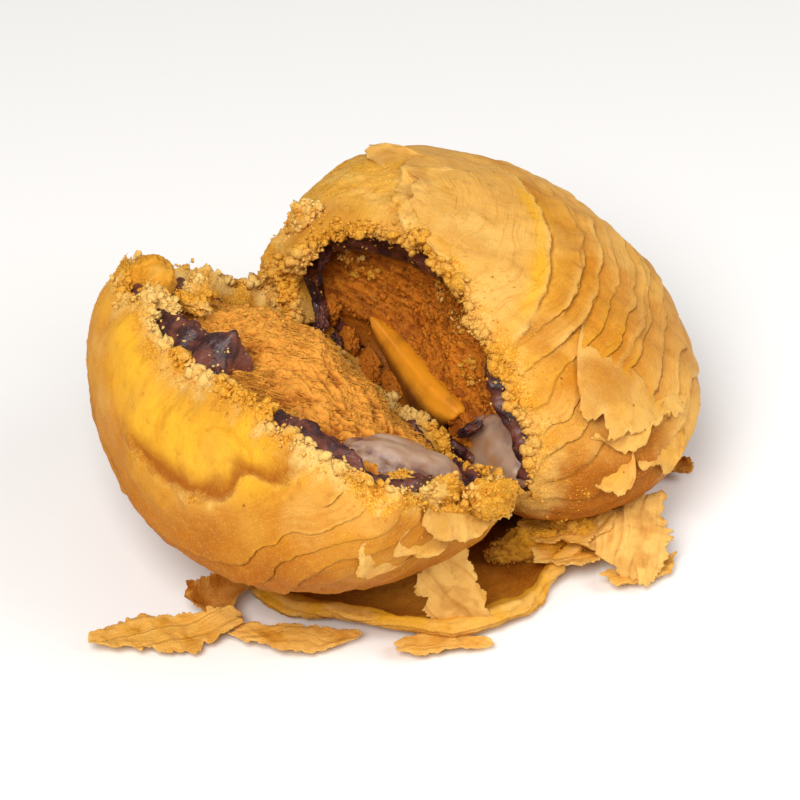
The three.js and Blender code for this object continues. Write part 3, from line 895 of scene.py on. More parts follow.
# Bean paste: a band between crust and core that swells out of the tear by a half wave of lumpy noise,
# closed behind like the crust.
def pasteShape(half, look):
    centre, seed = tornCentre(half), look["seed"]
    phi = wholeTurn(look["columns"])
    tear = crumbly(look["tear"], 3.5, look["lumps"], seed)
    insets = (walls["crust"] + walls["gap"] + 0 * phi, walls["core"] - walls["gap"] + thickPaste(half, phi, 0))
    angles = [tornRim(half, centre, phi, inset, tear) for inset in insets]
    shares = np.linspace(0.04, 1, look["deepRows"])
    outer, inner = [domeRows(half, centre, phi, inset, angle, shares)[0] for inset, angle in zip(insets, angles)]
    inner = inner[::-1]
    share, band = rowsBetween(outer, inner, look["bandRows"])
    swell = 0.6 + 0.9 * fractal(band, 2.8, 4, seed + 2, 0.55) + thickPaste(half, phi, 1)
    band[..., 0] = tear(band[..., 1], band[..., 2]) - swell * np.sin(np.pi * share[..., 0]) ** 0.6
    rows = np.concatenate([outer, band, inner])
    points, polygons = closedGrid(rows, np.concatenate([deepPole(half, inset.min()) for inset in insets]))
    shape = shapeOf(toTable(half, points), polygons)
    shape["band"] = toTable(half, band)
    return shape


pasteGrid = {"columns": 400, "deepRows": 8, "bandRows": 26, "lumps": 0.9}
rightHalf["paste"] = pasteShape(rightHalf, {**pasteGrid, "tear": givingWay(rightPasteTear), "seed": 301})
makePiece("beanPasteRight", rightHalf["paste"], pasteLook, ["bean_paste_right"])
leftHalf["paste"] = pasteShape(leftHalf, {**pasteGrid, "tear": leftPasteTear, "seed": 351})
makePiece("beanPasteLeft", leftHalf["paste"], pasteLook, ["bean_paste_left"])


# Floss cores: the torn face on a round grid, and the wall of the dome behind it.
def coreShape(half, look, sculpt):
    centre = tornCentre(half)
    phi = wholeTurn(look["columns"])
    inset = walls["core"] + thickPaste(half, phi, 0)
    angle = tornRim(half, centre, phi, inset, look["tear"])
    wall, _ = domeRows(half, centre, phi, inset, angle, np.linspace(0.04, 1, look["wallRows"]))
    rim = wall[-1]
    share = np.linspace(0.996, 0.008, look["faceRows"])[:, None]
    y = centre[1] + share * (rim[:, 1] - centre[1])
    z = centre[2] + share * (rim[:, 2] - centre[2])
    x, strand, straw, smooth = sculpt(y, z, look["tear"](y, z))
    blend = smoothStep(1.0, 0.94, share)
    x = x * blend + (1 - blend) * np.broadcast_to(rim[:, 0], x.shape)
    face = pointsOf(x, y, z)
    rows = np.concatenate([wall, face])
    front = np.array([[x[-1].mean(), centre[1], centre[2]]])
    points, polygons = closedGrid(rows, np.concatenate([deepPole(half, walls["core"]), front]))
    allMarks = {}
    for name, values in {"strand": strand, "straw": straw, "smooth": smooth}.items():
        behind = np.zeros(look["wallRows"] * look["columns"] + 1)
        allMarks[name] = np.concatenate([behind, values.ravel(), [values[-1].mean()]])
    shape = shapeOf(toTable(half, points), polygons, **allMarks)
    shape["face"] = face
    return shape


# Strands: noise drawn out along one way, sharp on its crests, bent by slower noise.
def strandNoise(y, z, look, seed):
    angle = np.radians(look["lie"])
    bend = look["bend"] * fractal(pointsOf(y, z, 0 * y), 9, 2, seed)
    along = y * np.cos(angle) + z * np.sin(angle)
    across = -y * np.sin(angle) + z * np.cos(angle) + bend
    drawn = pointsOf(along / look["long"], across / look["thick"], 0 * y)
    return 1 - np.abs(fractal(drawn, 1, 4, seed + 1, 0.6))


leftStrands = {"lie": -28, "bend": 1.4, "long": 4.5, "thick": 0.8}
rightStrands = {"lie": 25, "bend": 1.5, "long": 2.6, "thick": 0.9}


# The left core's face: strands and lumps stand out of the tear, grains sink in, and it falls back above.
# Both faces give x and the marks for strand, straw and smooth.
def sculptLeft(y, z, tear):
    strands = strandNoise(y, z, leftStrands, 401)
    lumps = fractal(pointsOf(0 * y, y, z), 6, 3, 402)
    grains = np.abs(fractal(pointsOf(0 * y, y, z), 1.1, 4, 403, 0.65))
    under = smoothStep(20.5, 23.5, z + 0.1 * y)
    x = tear - 0.95 * strands ** 2 - 0.6 * lumps + 0.4 * grains + 0.8 * under
    # The strand mark is higher where strands and lumps stand out and lower where grains sink in and the face falls
    # back: painted shade.
    strand = clipped(0.3 + 0.8 * strands ** 2 - 0.45 * grains + 0.3 * lumps - 0.35 * under)
    return x, strand, smoothStep(-0.4, 0.5, lumps) * (1 - 0.6 * under), 0.5 * under


# The right core's face: rougher, and calm in the hollow and near the yolk.
def sculptRight(y, z, tear):
    strands = strandNoise(y, z, rightStrands, 451)
    lumps = fractal(pointsOf(0 * y, y, z), 4.5, 4, 452, 0.6)
    grains = np.abs(fractal(pointsOf(0 * y, y, z), 1.2, 4, 453, 0.65))
    hollow, middle = yolkHollow(y, z), yolkLine(y)[0]
    near = bump(z - middle, 0, 2.6) * smoothStep(-11, -6, y) * smoothStep(12, 7, y)
    calm = 1 - np.maximum(hollow, 0.8 * near)
    x = tear + calm * (0.5 - 0.6 * strands ** 2 - lumps + 0.7 * grains) + 0.8 * near * (1 - hollow)
    outside = smoothStep(15, 22, np.hypot(y, z - 13))
    # The strand mark is lower where grains sink in and in the hollow: painted shade.
    strand = clipped(0.2 + 0.75 * strands ** 2 - 0.5 * grains + 0.5 * lumps - 0.6 * outside) * (1 - 0.75 * hollow)
    return x, strand, smoothStep(0.1, 0.7, lumps) * 0.8 * calm, np.maximum(hollow, 0.6 * near)


coreGrid = {"columns": 400, "wallRows": 8, "faceRows": 160}
leftCore = coreShape(leftHalf, {**coreGrid, "tear": leftCoreTear}, sculptLeft)
makePiece("flossLeft", leftCore, leftFloss, ["floss_left"])
rightCore = coreShape(rightHalf, {**coreGrid, "tear": givingWay(rightCoreTear)}, sculptRight)
makePiece("flossRight", rightCore, rightFloss, ["floss_right"])


# The salted yolk: a wedge carried along its line. Its top edge is thin and bright; below it a smooth
# slope runs down and back into the core.
def yolkShape(look):
    share = np.linspace(0, 1, look["columns"] + 2)[1:-1, None]
    turn = wholeTurn(look["rows"])[None, :]
    ends = np.sin(np.pi * share) ** 0.4
    y = look["start"][0] + share * (look["stop"][0] - look["start"][0])
    middle, width = yolkLine(y)
    side = np.sign(np.cos(turn)) * np.abs(np.cos(turn)) ** 0.75
    depth = np.sign(np.sin(turn)) * np.abs(np.sin(turn)) ** 0.6
    slope = look["slope"] * np.sin(np.pi * share) ** 0.8
    z = middle + np.where(side > 0, width * ends * side, (width + slope) * ends * side)
    below = np.maximum(middle - z, 0)
    ridge = np.polyval(np.polyfit(y.ravel(), rightCoreFace(y, middle).ravel(), 3), y)
    face = ridge - 0.3 - 0.22 * below + look["recede"] * smoothStep(0.4, 5, below)
    face = face + 0.5 * smoothStep(0.6, 1, side)
    x = face + look["depth"] * ends * (depth * 0.5 + 0.5)
    rows = pointsOf(x, y + 0 * side, z)
    waves = 0.1 * fractal(rows, 4.5, 2, 502) + 0.03 * fractal(rows, 1.1, 2, 503)
    rows = rows + pointsOf(waves, 0 * waves, waves * 0.6)
    points, polygons = closedGrid(rows)
    # The inside mark, 0 at the bright top edge and 1 down the slope, paints the shade of the hollow.
    inside = smoothStep(-0.1, 1.0, below / (0.5 + 0.9 * width)) + 0.2 * fractal(rows, 2.5, 3, 504)
    return shapeOf(toTable(rightHalf, points), polygons,
                   inside=np.concatenate([[0.5], clipped(inside).ravel(), [0.5]]))


makePiece("yolkRight", yolkShape(yolkForm), yolkLook, ["yolk_right"])


# Mochi: a soft pillow bulging through the torn face; an ellipsoid of two angles with slow noise.
def mochiShape(half, look):
    unit = np.roll(ballGrid(48, 96), 1, axis=-1)  # its poles lie along X
    unit = np.sign(unit) * np.abs(unit) ** 0.9
    waves = 1 + 0.16 * fractal(unit * 3, 2.2, 3, look["seed"])
    angle = np.radians(look["turned"])
    along, across = look["length"] * unit[..., 1] * waves, look["width"] * unit[..., 2] * waves
    y = look["centre"][0] + along * np.cos(angle) - across * np.sin(angle)
    z = look["centre"][1] + along * np.sin(angle) + across * np.cos(angle)
    x = look["face"] + look["depth"] * unit[..., 0] * waves + look["lean"] * (y - look["centre"][0])
    edge = smoothStep(0.55, 0.95, np.hypot(unit[..., 1], unit[..., 2]))
    points, polygons = closedGrid(pointsOf(x, y, z))
    return shapeOf(toTable(half, points), polygons, edge=np.concatenate([[0], edge.ravel(), [0]]))


rightMochi = {"centre": (-16.6, 9.6), "length": 8.0, "width": 5.2, "depth": 3.0, "face": -4.9, "lean": 0.1,
              "turned": -35, "seed": 551}
leftMochi = {"centre": (16.3, 12.8), "length": 8.0, "width": 3.6, "depth": 3.2, "face": 1.2, "lean": 0.05,
             "turned": -82, "seed": 561}
makePiece("mochiRight", mochiShape(rightHalf, rightMochi), mochiLook, ["mochi_right"])
makePiece("mochiLeft", mochiShape(leftHalf, leftMochi), mochiLook, ["mochi_left"])


# An icosahedron's corners and its outward faces.
def icosahedron():
    golden = (1 + 5 ** 0.5) / 2
    corners = np.array([(0, a, b * golden) for a in (-1, 1) for b in (-1, 1)])
    corners = np.concatenate([np.roll(corners, shift, axis=1) for shift in range(3)])
    corners /= np.linalg.norm(corners[0])
    near = np.linalg.norm(corners[:, None] - corners[None], axis=-1) < 1.2
    faces = np.array([(a, b, c) for a in range(12) for b in range(a + 1, 12) for c in range(b + 1, 12)
                      if near[a, b] and near[b, c] and near[a, c]])
    first, second, third = corners[faces[:, 0]], corners[faces[:, 1]], corners[faces[:, 2]]
    inward = np.einsum("ij,ij->i", np.cross(second - first, third - first), first) < 0
    faces[inward] = faces[inward][:, ::-1]
    return corners, faces


# Turns at random: a chance direction, a second square to it, and their cross product.
def randomTurns(count, draw):
    first = draw.normal(size=(count, 3))
    first /= np.linalg.norm(first, axis=1, keepdims=True)
    second = np.cross(first, draw.normal(size=(count, 3)))
    second /= np.linalg.norm(second, axis=1, keepdims=True)
    return np.stack([first, second, np.cross(first, second)], -1)


# Crumbs: icosahedra with each corner pushed in or out by chance, squashed, turned and laid at places.
def scatterCrumbs(places, sizes, seed, thin, **marks):
    draw = np.random.default_rng(seed)
    corners, faces = icosahedron()
    kinds = 24  # different crumb shapes
    forms = corners * draw.uniform(0.55, 1.3, (kinds, len(corners), 1)) * draw.uniform(thin, 1.25, (kinds, 1, 3))
    picked = forms[draw.integers(0, kinds, len(places))]
    turned = np.einsum("nij,nkj->nki", randomTurns(len(places), draw), picked)
    points = (places[:, None] + turned * sizes[:, None, None]).reshape(-1, 3)
    triangles = (faces[None] + len(corners) * np.arange(len(places))[:, None, None]).reshape(-1, 3)
    marks = {name: np.repeat(np.broadcast_to(value, len(places)).astype(float), len(corners))
             for name, value in marks.items()}
    return {"points": points, "polygons": [triangles], "marks": marks}


# Crumbs as a piece of their own, baked like the crumbly crust.
def makeCrumbs(name, places, sizes, seed, thin, **marks):
    makePiece(name, scatterCrumbs(places, sizes, seed, thin, **marks), crumbBake)


# Crumb sizes: many small, few large.
def crumbSizes(count, low, high, draw):
    return low + (high - low) * draw.random(count) ** 2.6


# Crumbs of the torn rims: how many, smallest and largest, how far they stray, and what they lie on, the
# torn band or the edge of the outer face.
rimLooks = {
    "rimCrumbs": {"count": 900, "low": 0.22, "high": 1.0, "spread": 0.26, "from": "band"},
    "rimGrains": {"count": 4400, "low": 0.08, "high": 0.36, "spread": 0.24, "from": "band"},
    "edgeDust": {"count": 1900, "low": 0.06, "high": 0.2, "spread": 0.05, "from": "edge"},
}
looseCrust = {"crumb": 1.0, "crease": 0.0, "toast": 0.0, "glaze": 0.0, "pale": 0.0, "phase": 0.0,
              "spacing": 4.0, "layered": 0.0}


# Crumbs lie in clumps along a rim, anywhere across the band or mostly near the end of the edge.
def bandCrumbs(name, half, look, seed):
    draw = np.random.default_rng(seed)
    onEdge, ground, count = look["from"] == "edge", half["crust"][look["from"]], look["count"]
    rows, columns = ground.shape[:2]
    clumps = smoothStep(-0.5, 0.5, fractal(pointsOf(np.arange(columns) / 9, 0, 0), 1, 3, seed + 2)) + 0.12
    column = draw.choice(columns, count, p=clumps / clumps.sum())
    if onEdge:
        row = rows - 1 - (rows * draw.random(count) ** 1.7).astype(int)
    else:
        row = draw.integers(0, rows, count)
    sizes = crumbSizes(count, look["low"], look["high"], draw)
    places = ground[row, column] - half["turn"][:, 0] * 0.3 * sizes[:, None]
    places = places + draw.normal(0, look["spread"], (count, 3))
    tone = {**looseCrust, "glaze": half["crust"]["gilt"], "crumb": 0.45 if onEdge else 1.0}
    makeCrumbs(name, places, sizes, seed + 1, 0.5, **tone)


for number, (name, look) in enumerate(rimLooks.items()):
    for step, (half, side) in enumerate(halves):
        bandCrumbs(name + side, half, look, 601 + 20 * number + 10 * step)


# Fibres: thin three-sided spindles, bowed, lying roughly along the strands of a torn core face.
def scatterFibres(name, half, core, look, finish, seed):
    draw = np.random.default_rng(seed)
    face, count = core["face"], look["count"]
    row = (face.shape[0] * draw.random(count) ** 0.6).astype(int) % face.shape[0]
    start = face[face.shape[0] - 1 - row, draw.integers(0, face.shape[1], count)]
    angle = np.radians(look["lie"] + draw.normal(0, look["fan"], count))
    rising = draw.uniform(0.0, look["rise"], count)
    along = pointsOf(-rising, np.cos(angle), np.sin(angle))
    along /= np.linalg.norm(along, axis=1, keepdims=True)
    side = np.cross(along, [1.0, 0, 0])
    side /= np.linalg.norm(side, axis=1, keepdims=True)
    other = np.cross(along, side)
    length = draw.uniform(*look["length"], count)
    thick = draw.uniform(*look["thick"], count)
    bow = draw.normal(0, 0.18, count) * length
    share = np.linspace(-0.5, 0.5, 5)[None, :, None]
    spine = (start[:, None] + along[:, None] * share * length[:, None, None]
             + side[:, None] * bow[:, None, None] * (4 * share ** 2) - np.array([1.0, 0, 0]) * 0.08)
    turn = 2 * np.pi / 3 * np.arange(3)
    ring = (side[:, None, None] * np.cos(turn)[:, None] + other[:, None, None] * np.sin(turn)[:, None])
    middle = spine[:, 1:4, None] + ring * (thick[:, None, None, None] * np.array([0.8, 1, 0.7])[:, None, None])
    points = np.concatenate([spine[:, :1], middle.reshape(count, 9, 3), spine[:, 4:]], axis=1)
    faces = [(0, 2, 1), (0, 3, 2), (0, 1, 3), (10, 7, 8), (10, 8, 9), (10, 9, 7)]
    for first in (1, 4):
        for step in range(3):
            near, far = first + step, first + (step + 1) % 3
            faces += [(near, far, far + 3), (near, far + 3, near + 3)]
    triangles = (np.array(faces)[None] + 11 * np.arange(count)[:, None, None]).reshape(-1, 3)
    tone = np.repeat(draw.uniform(*look["tone"], count), 11)
    straw = np.repeat((draw.random(count) < look["straw"]).astype(float), 11)
    shape = shapeOf(toTable(half, points.reshape(-1, 3)), [triangles], strand=tone, straw=straw, smooth=0)
    makePiece(name, shape, finish)


leftFibres = {"count": 2600, "lie": -28, "fan": 24, "rise": 0.4, "length": (0.8, 3.2), "thick": (0.03, 0.1),
              "tone": (0.35, 1.0), "straw": 0.35}
rightFibres = {"count": 1900, "lie": 25, "fan": 40, "rise": 0.35, "length": (0.5, 1.8), "thick": (0.03, 0.09),
               "tone": (0.1, 1.0), "straw": 0.35}
scatterFibres("fibresLeft", leftHalf, leftCore, leftFibres, leftFloss, 661)
scatterFibres("fibresRight", rightHalf, rightCore, rightFibres, rightFloss, 671)


# Grains of floss: small flattened crumbs over the core faces.
def flossGrains(name, half, core, count, finish, seed):
    draw = np.random.default_rng(seed)
    face = core["face"]
    row = face.shape[0] - 1 - (face.shape[0] * draw.random(count) ** 0.6).astype(int) % face.shape[0]
    places = face[row, draw.integers(0, face.shape[1], count)] - [0.04, 0, 0]
    sizes = crumbSizes(count, 0.08, 0.36, draw)
    marks = {"strand": draw.uniform(0.3, 1, count), "straw": draw.random(count) < 0.25, "smooth": 0}
    makePiece(name, scatterCrumbs(toTable(half, places), sizes, seed + 1, 0.25, **marks), finish)


flossGrains("grainsLeft", leftHalf, leftCore, 2400, leftFloss, 681)
flossGrains("grainsRight", rightHalf, rightCore, 2200, rightFloss, 691)


# Flakes by solid: length, width, wall, how pointed, bow along, curl across, phase of the edge's waves, and
# turn in degrees about X, Y and Z.
flakeLooks = {
    "flake_long": (16.5, 7, .7, .4, .6, .4, .4, (0, 0, 199)),
    "flake_low": (15, 4.6, .6, .3, .4, .2, 2.1, (0, 0, -4)),
    "flake_brown": (8, 5, .7, .35, 1.1, 1.3, 3.3, (24, 0, 12)),
    "flake_upright": (11.5, 8.4, .7, .55, -.6, .5, 1.2, (70, 50, -14)),
    "flake_front": (10.5, 4, .6, .3, .3, .2, 5.2, (0, 0, 6)),
    "flake_stack_low": (13, 9, .7, .3, .9, .5, 4.4, (0, 3, 32)),
    "flake_stack_high": (11, 7, .7, .25, 1, .7, .9, (6, -4, 30)),
    "flake_pale": (13.5, 10.5, .6, .55, -1, -.9, 2.7, (0, 22, -98)),
    "flake_pointed": (12, 4.4, .6, .85, .8, .2, 1.9, (0, 0, 32)),
    "nub_behind": (4.4, 3.6, 1.2, .3, .5, .5, .2, (0, 0, 10)),
}
# Which mark a flake has more of, and how much; the others are glazed a little. The upright flake's pale is painted
# light.
flakePaint = {"flake_brown": ("toast", 0.6), "flake_pale": ("pale", 0.7), "flake_upright": ("pale", 0.9),
              "flake_stack_high": ("glaze", 0.6), "nub_behind": ("toast", 0.7), "flake_long": ("glaze", 0.4)}


flakeGrid = (88, 38)  # points along and across


# A flake lying flat: a strip that narrows to its ends, with waves and noise along its edges, bowed by the
# square of u, curled by the square of v, in thin torn layers. Gives its top, underside, layers and edge.
def flakeSheet(look, seed):
    length, width, wall, point, bow, curl, phase, turn = look
    u, v = np.meshgrid(*(np.linspace(-0.5, 0.5, count) for count in flakeGrid), indexing="ij")
    along = u + 0.5
    body = np.sin(np.pi * (0.04 + 0.92 * along)) ** 0.5 * (1 - point * along ** 2)
    waves = 0.16 * np.sin(9 * along + phase) + 0.1 * np.sin(23 * along + 2 * phase)
    jag = fractal(pointsOf(length * u / 2.4, np.sign(v) * 3.3, 0 * u), 1, 6, seed, 0.68)
    width = width * body * (1 + 0.6 * waves) * (1 + 0.42 * jag * smoothStep(0.2, 0.5, np.abs(v)))
    endJag = 1.6 * fractal(pointsOf(width * v / 2.6, np.sign(u) * 2.3, 0 * u), 1, 5, seed + 1, 0.55)
    x = length * u + endJag * smoothStep(0.25, 0.5, np.abs(u)) * np.sign(u)
    sway = 0.12 * look[1] * np.sin(5 * along + phase)
    y = width * v + sway
    rise = bow * 4 * u ** 2 + curl * 4 * v ** 2 + 0.35 * fractal(pointsOf(x, y, 0), 4, 3, seed + 2)
    rise = rise + 0.1 * fractal(pointsOf(x, y, 0), 0.9, 3, seed + 3)
    strips = y / 2.6 + 0.9 * fractal(pointsOf(x / 5, y / 1.6, 0), 4.5, 4, seed + 4, 0.6)
    layer = 0.14 * (smoothStep(0.0, 0.08, strips % 1) - strips % 1)
    outwards = np.maximum(np.abs(u), np.abs(v))
    thin = wall * 0.5 * (0.25 + 0.75 * smoothStep(0.5, 0.36, outwards))
    top = pointsOf(x, y, rise + thin * 0.7 + layer)
    under = pointsOf(x, y, rise - thin * 0.7)
    return top, under, strips, smoothStep(0.6, 1.0, 2 * outwards)


# A sheet closed by quads between the edges of its top and its underside.
def closedSheet(top, under):
    rows, columns = top.shape[:2]
    points = np.concatenate([top.reshape(-1, 3), under.reshape(-1, 3)])
    first = (np.arange(rows - 1)[:, None] * columns + np.arange(columns - 1)).ravel()
    upper = np.stack([first, first + columns, first + columns + 1, first + 1], -1)
    grid = np.arange(rows * columns).reshape(rows, columns)
    edge = np.concatenate([grid[0, :-1], grid[:-1, -1], grid[-1, :0:-1], grid[:0:-1, 0]])
    following, below = np.roll(edge, -1), rows * columns
    skirt = np.stack([edge, following, following + below, edge + below], -1)
    return points, [upper, upper[:, ::-1] + below, skirt]


# A flake turned about X, Y and Z and put in the middle of its solid's box; one that lies on the table is
# lifted until nothing of it is below.
def flakeShape(node, look, seed):
    top, under, strips, edge = flakeSheet(look, seed)
    points, polygons = closedSheet(top, under)
    turnX, turnY, turnZ = look[7]
    turn = turnAbout((0, 0, 1), turnZ) @ turnAbout((0, 1, 0), turnY) @ turnAbout((1, 0, 0), turnX)
    points = points @ turn.T
    low, high = np.array(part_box(node)) / mm
    middle = (points.min(axis=0) + points.max(axis=0)) / 2
    points = points - middle + (low + high) / 2
    onTable = low[2] < 0.8
    points[:, 2] += 0.12 - min(points[:, 2].min(), 0) * onTable
    edge, strips = np.tile(edge.ravel(), 2), np.tile(strips.ravel(), 2)
    patches = fractal(points, 3, 3, seed + 9)
    marks = {"crumb": 0.5 * edge ** 2 * smoothStep(-0.1, 0.3, fractal(points, 1.2, 2, seed + 8)),
             "crease": 0, "toast": 0.35 * smoothStep(0.1, 0.7, -patches), "glaze": 0,
             "pale": clipped(0.4 + 0.4 * edge + 0.4 * patches), "phase": strips, "spacing": 1.6, "layered": 0.2}
    name, amount = flakePaint.get(node, ("glaze", 0.3))
    marks[name] = clipped(marks[name] + amount)
    return shapeOf(points, polygons, **marks)


# A leaf of crust on the flat map: middle of its root x, y, length, width, angle of the root in degrees,
# lift of its free side, and how ragged that side is. The root sinks in; a negative width turns it over.
rightHalf["leaves"] = [
    (4.6, -18.0, 14, -10.6, -40, 1.0, 0.35), (6.6, -23.6, 22, -3.2, 20, 0.8, 0.5),
    (11.6, -27.2, 13, -2.8, 25, 0.9, 0.6), (0.8, -31.0, 7, -3.6, 40, 1.3, 0.4),
    (-9.6, 5.9, 20, 7.0, 55, 0.5, 0.3), (-9.2, 18.2, 7, 4.6, 10, 1.2, 0.4),
]
leftHalf["leaves"] = [
    (1.5, 42.5, 15, -5.0, 80, 1.6, 0.4), (6.2, 38.0, 10, -6.0, 66, 1.1, 0.4), (10.0, 33.0, 9, -5.5, 56, 0.8, 0.4),
]


leafGrid = (110, 30)  # points along the root and away from it


# A leaf on the dome: v runs from its root to its free side, which is ragged and nicked; its rise grows with
# v and fades to its ends. Both faces stand a thin wall apart.
def leafShape(half, look, seed):
    x, y, length, width, angle, lift, raggedSide = look
    u, v = np.meshgrid(np.linspace(-1, 1, leafGrid[0]), np.linspace(0, 1, leafGrid[1]), indexing="ij")
    edge = fractal(pointsOf(u * length / 7, v * 1.2, 0 * u), 1, 3, seed, 0.5)
    nicks = np.abs(fractal(pointsOf(u * length / 3.1, v * 3, 0 * u), 1, 6, seed + 9, 0.72))
    frayedBy = np.sign(width) * 0.8 * nicks * v ** 6
    reachOver = width * (1 - np.abs(u) ** 3) ** 0.6 * (1 + raggedSide * edge * v) * v - frayedBy
    alongWay = 0.5 * length * u * (1 + 0.1 * v * fractal(pointsOf(v * 2, np.sign(u), 0 * u), 1, 4, seed + 1))
    turned = np.radians(angle)
    flatX = x + alongWay * np.cos(turned) - reachOver * np.sin(turned)
    flatY = y + alongWay * np.sin(turned) + reachOver * np.cos(turned)
    waves = fractal(pointsOf(flatX, flatY, 0 * u), 4, 3, seed + 2)
    rise = lift * smoothStep(-1.1, 0.3, u) * v ** 1.6 * (1 - np.abs(u) ** 3) * (1 + 0.35 * waves)
    rise = rise - 0.45 * (1 - v) ** 1.5 + 0.25
    rise = rise - 0.5 * np.abs(u) ** 6 * (1 - v) + 0.06 * fractal(pointsOf(flatX, flatY, 0 * u), 1.1, 3, seed + 3)
    thin = 0.16 * (1 - 0.75 * smoothStep(0.85, 1, np.maximum(np.abs(u), v)))
    top, under = onDome(half, flatX, flatY, rise + thin), onDome(half, flatX, flatY, rise - thin)
    points, polygons = closedSheet(top, under)
    free = np.tile(v.ravel(), 2)
    patches = fractal(points, 4, 3, seed + 4)
    return shapeOf(
        toTable(half, points), polygons, crease=0, phase=0, spacing=0, layered=0,
        crumb=0.5 * smoothStep(0.9, 1, free) * smoothStep(-0.1, 0.3, fractal(points, 1.2, 2, seed + 6)),
        toast=0.35 * smoothStep(0.3, 0.8, fractal(points, 5, 2, seed + 5)),
        glaze=0.3 * smoothStep(0, 0.6, -patches), pale=clipped(0.5 + 0.35 * free ** 2 + 0.3 * patches))


for half, side in halves:
    leaves = [leafShape(half, look, 871 + 7 * number) for number, look in enumerate(half["leaves"])]
    makePiece("leaves" + side, joined(leaves), crustBake)


# A lump of crust or paste: an ellipsoid whose radii carry knobs of several sizes.
def lumpShape(half, centre, radii, lean, knobs, seed, **marks):
    unit = ballGrid(44, 80)
    fine = np.abs(fractal(unit * 6, 1.8, 3, seed + 1))
    knobby = 1 + knobs * fractal(unit * 6, 4, 5, seed, 0.65) - 0.5 * knobs * fine
    points, polygons = closedGrid((unit * knobby[..., None] * radii) @ turnAbout((1, 0, 0), lean).T + centre)
    return shapeOf(toTable(half, points), polygons, **marks)


# Several lumps in one shape, each with its own seed.
def lumpsOf(half, looks, seed, **marks):
    return joined([lumpShape(half, *look, seed + 5 * number, **marks) for number, look in enumerate(looks)])


# Lumps by half: middle and radii in its axes, lean about its tear axis, how knobby, and share of crumb.
leftHalf["lumps"] = [
    ((-1.0, -21.0, 24.6), (3.4, 3.8, 2.8), 30, 0.2, 0.25), ((-1.3, -17.0, 27.2), (1.3, 3.4, 1.4), 22, 0.35, 0.8),
    ((-1.6, -13.4, 27.6), (0.8, 2.4, 0.9), 15, 0.4, 0.8), ((-2.4, -17.6, 20.4), (1.6, 4.2, 1.4), 30, 0.4, 0.6),
    ((-2.2, -14.2, 23.6), (0.9, 2.6, 0.9), -25, 0.5, 0.8), ((-0.4, 24.2, 14), (2.0, 1.5, 4.2), -14, 0.45, 0.8),
    ((-1.4, 25.6, 7.8), (2.4, 1.5, 4.6), -8, 0.45, 0.8), ((0.2, 22.2, 19.4), (1.5, 1.2, 2.6), -32, 0.45, 0.8),
]
rightHalf["lumps"] = [
    ((-19.6, 15.6, 12.6), (2.6, 2.4, 5.6), 8, 0.3, 0.8), ((-18.6, 13.2, 6.6), (2.2, 2.2, 3.2), 0, 0.4, 0.8),
    ((-21.2, 15.0, 18.6), (1.6, 1.9, 2.8), 20, 0.35, 0.6),
]
# Crumbs and grains strewn over a piece: name, how many, smallest and largest.
lumpCrumbs = (("lumpCrumbs", 420, 0.18, 0.85), ("lumpGrains", 2400, 0.08, 0.34))
for half, side in halves:
    lumps = joined([lumpShape(half, *look, 901 + 5 * number, **{**looseCrust, "crumb": crumb, "glaze": 0.3})
                    for number, (*look, crumb) in enumerate(half["lumps"])])
    makePiece("lumps" + side, lumps, crumbBake)
    draw = np.random.default_rng(931)
    rough = lumps["points"][lumps["marks"]["crumb"] > 0.5]
    for name, count, low, high in lumpCrumbs:
        places = rough[draw.integers(0, len(rough), count)]
        sizes = crumbSizes(count, low, high, draw)
        places = places + draw.normal(0, 0.14, (count, 3))
        makeCrumbs(name + side, places, sizes, 941, 0.25, **looseCrust)


# Dark chips of paste that lie loose on the right half's torn face.
pasteChips = [((-16.6, 9.6, 7.6), (1.3, 2.2, 1.5), 20, 0.5), ((-13.6, 8.6, 4.8), (1.1, 1.8, 1.0), -30, 0.5),
              ((-9.0, -14.0, 11.6), (0.9, 0.7, 1.9), 20, 0.5), ((-18.6, 12.2, 14.5), (1.0, 1.4, 2.2), 15, 0.5)]
makePiece("pasteChips", lumpsOf(rightHalf, pasteChips, 961), pasteLook)

# Crumbled floss heaped at the lower left of the right core.
flossLumps = [((-14.4, 11.2, 7.4), (1.6, 2.4, 2.0), 30, 0.35), ((-11.4, 9.0, 4.6), (1.6, 2.2, 1.8), 30, 0.35),
              ((-8.4, 6.0, 2.8), (1.5, 2.6, 1.6), 20, 0.35), ((-6.8, 2.6, 3.0), (1.2, 2.2, 1.3), 0, 0.35)]
flossStrewn = {"count": 900, "low": 0.08, "high": 0.4}
heap = lumpsOf(rightHalf, flossLumps, 1001, strand=0.5, straw=0.5, smooth=0)
makePiece("flossHeap", heap, rightFloss)
draw = np.random.default_rng(1031)
places = heap["points"][draw.integers(0, len(heap["points"]), flossStrewn["count"])]
marks = {"strand": draw.uniform(0.3, 1, flossStrewn["count"]), "straw": 0.5, "smooth": 0}
sizes = crumbSizes(**flossStrewn, draw=draw)
makePiece("flossHeapGrains", scatterCrumbs(places, sizes, 1041, 0.25, **marks), rightFloss)


# Crumbs strewn by chance over points, and kept above the table by most of their size.
def strewOver(points, looks, spread, draw, seed, thin, **marks):
    for name, count, low, high in looks:
        places = points[draw.integers(0, len(points), count)] + draw.normal(0, spread, (count, 3))
        sizes = crumbSizes(count, low, high, draw)
        places[:, 2] = np.maximum(places[:, 2], sizes * 1.4)
        makeCrumbs(name, places, sizes, seed, thin, **marks)


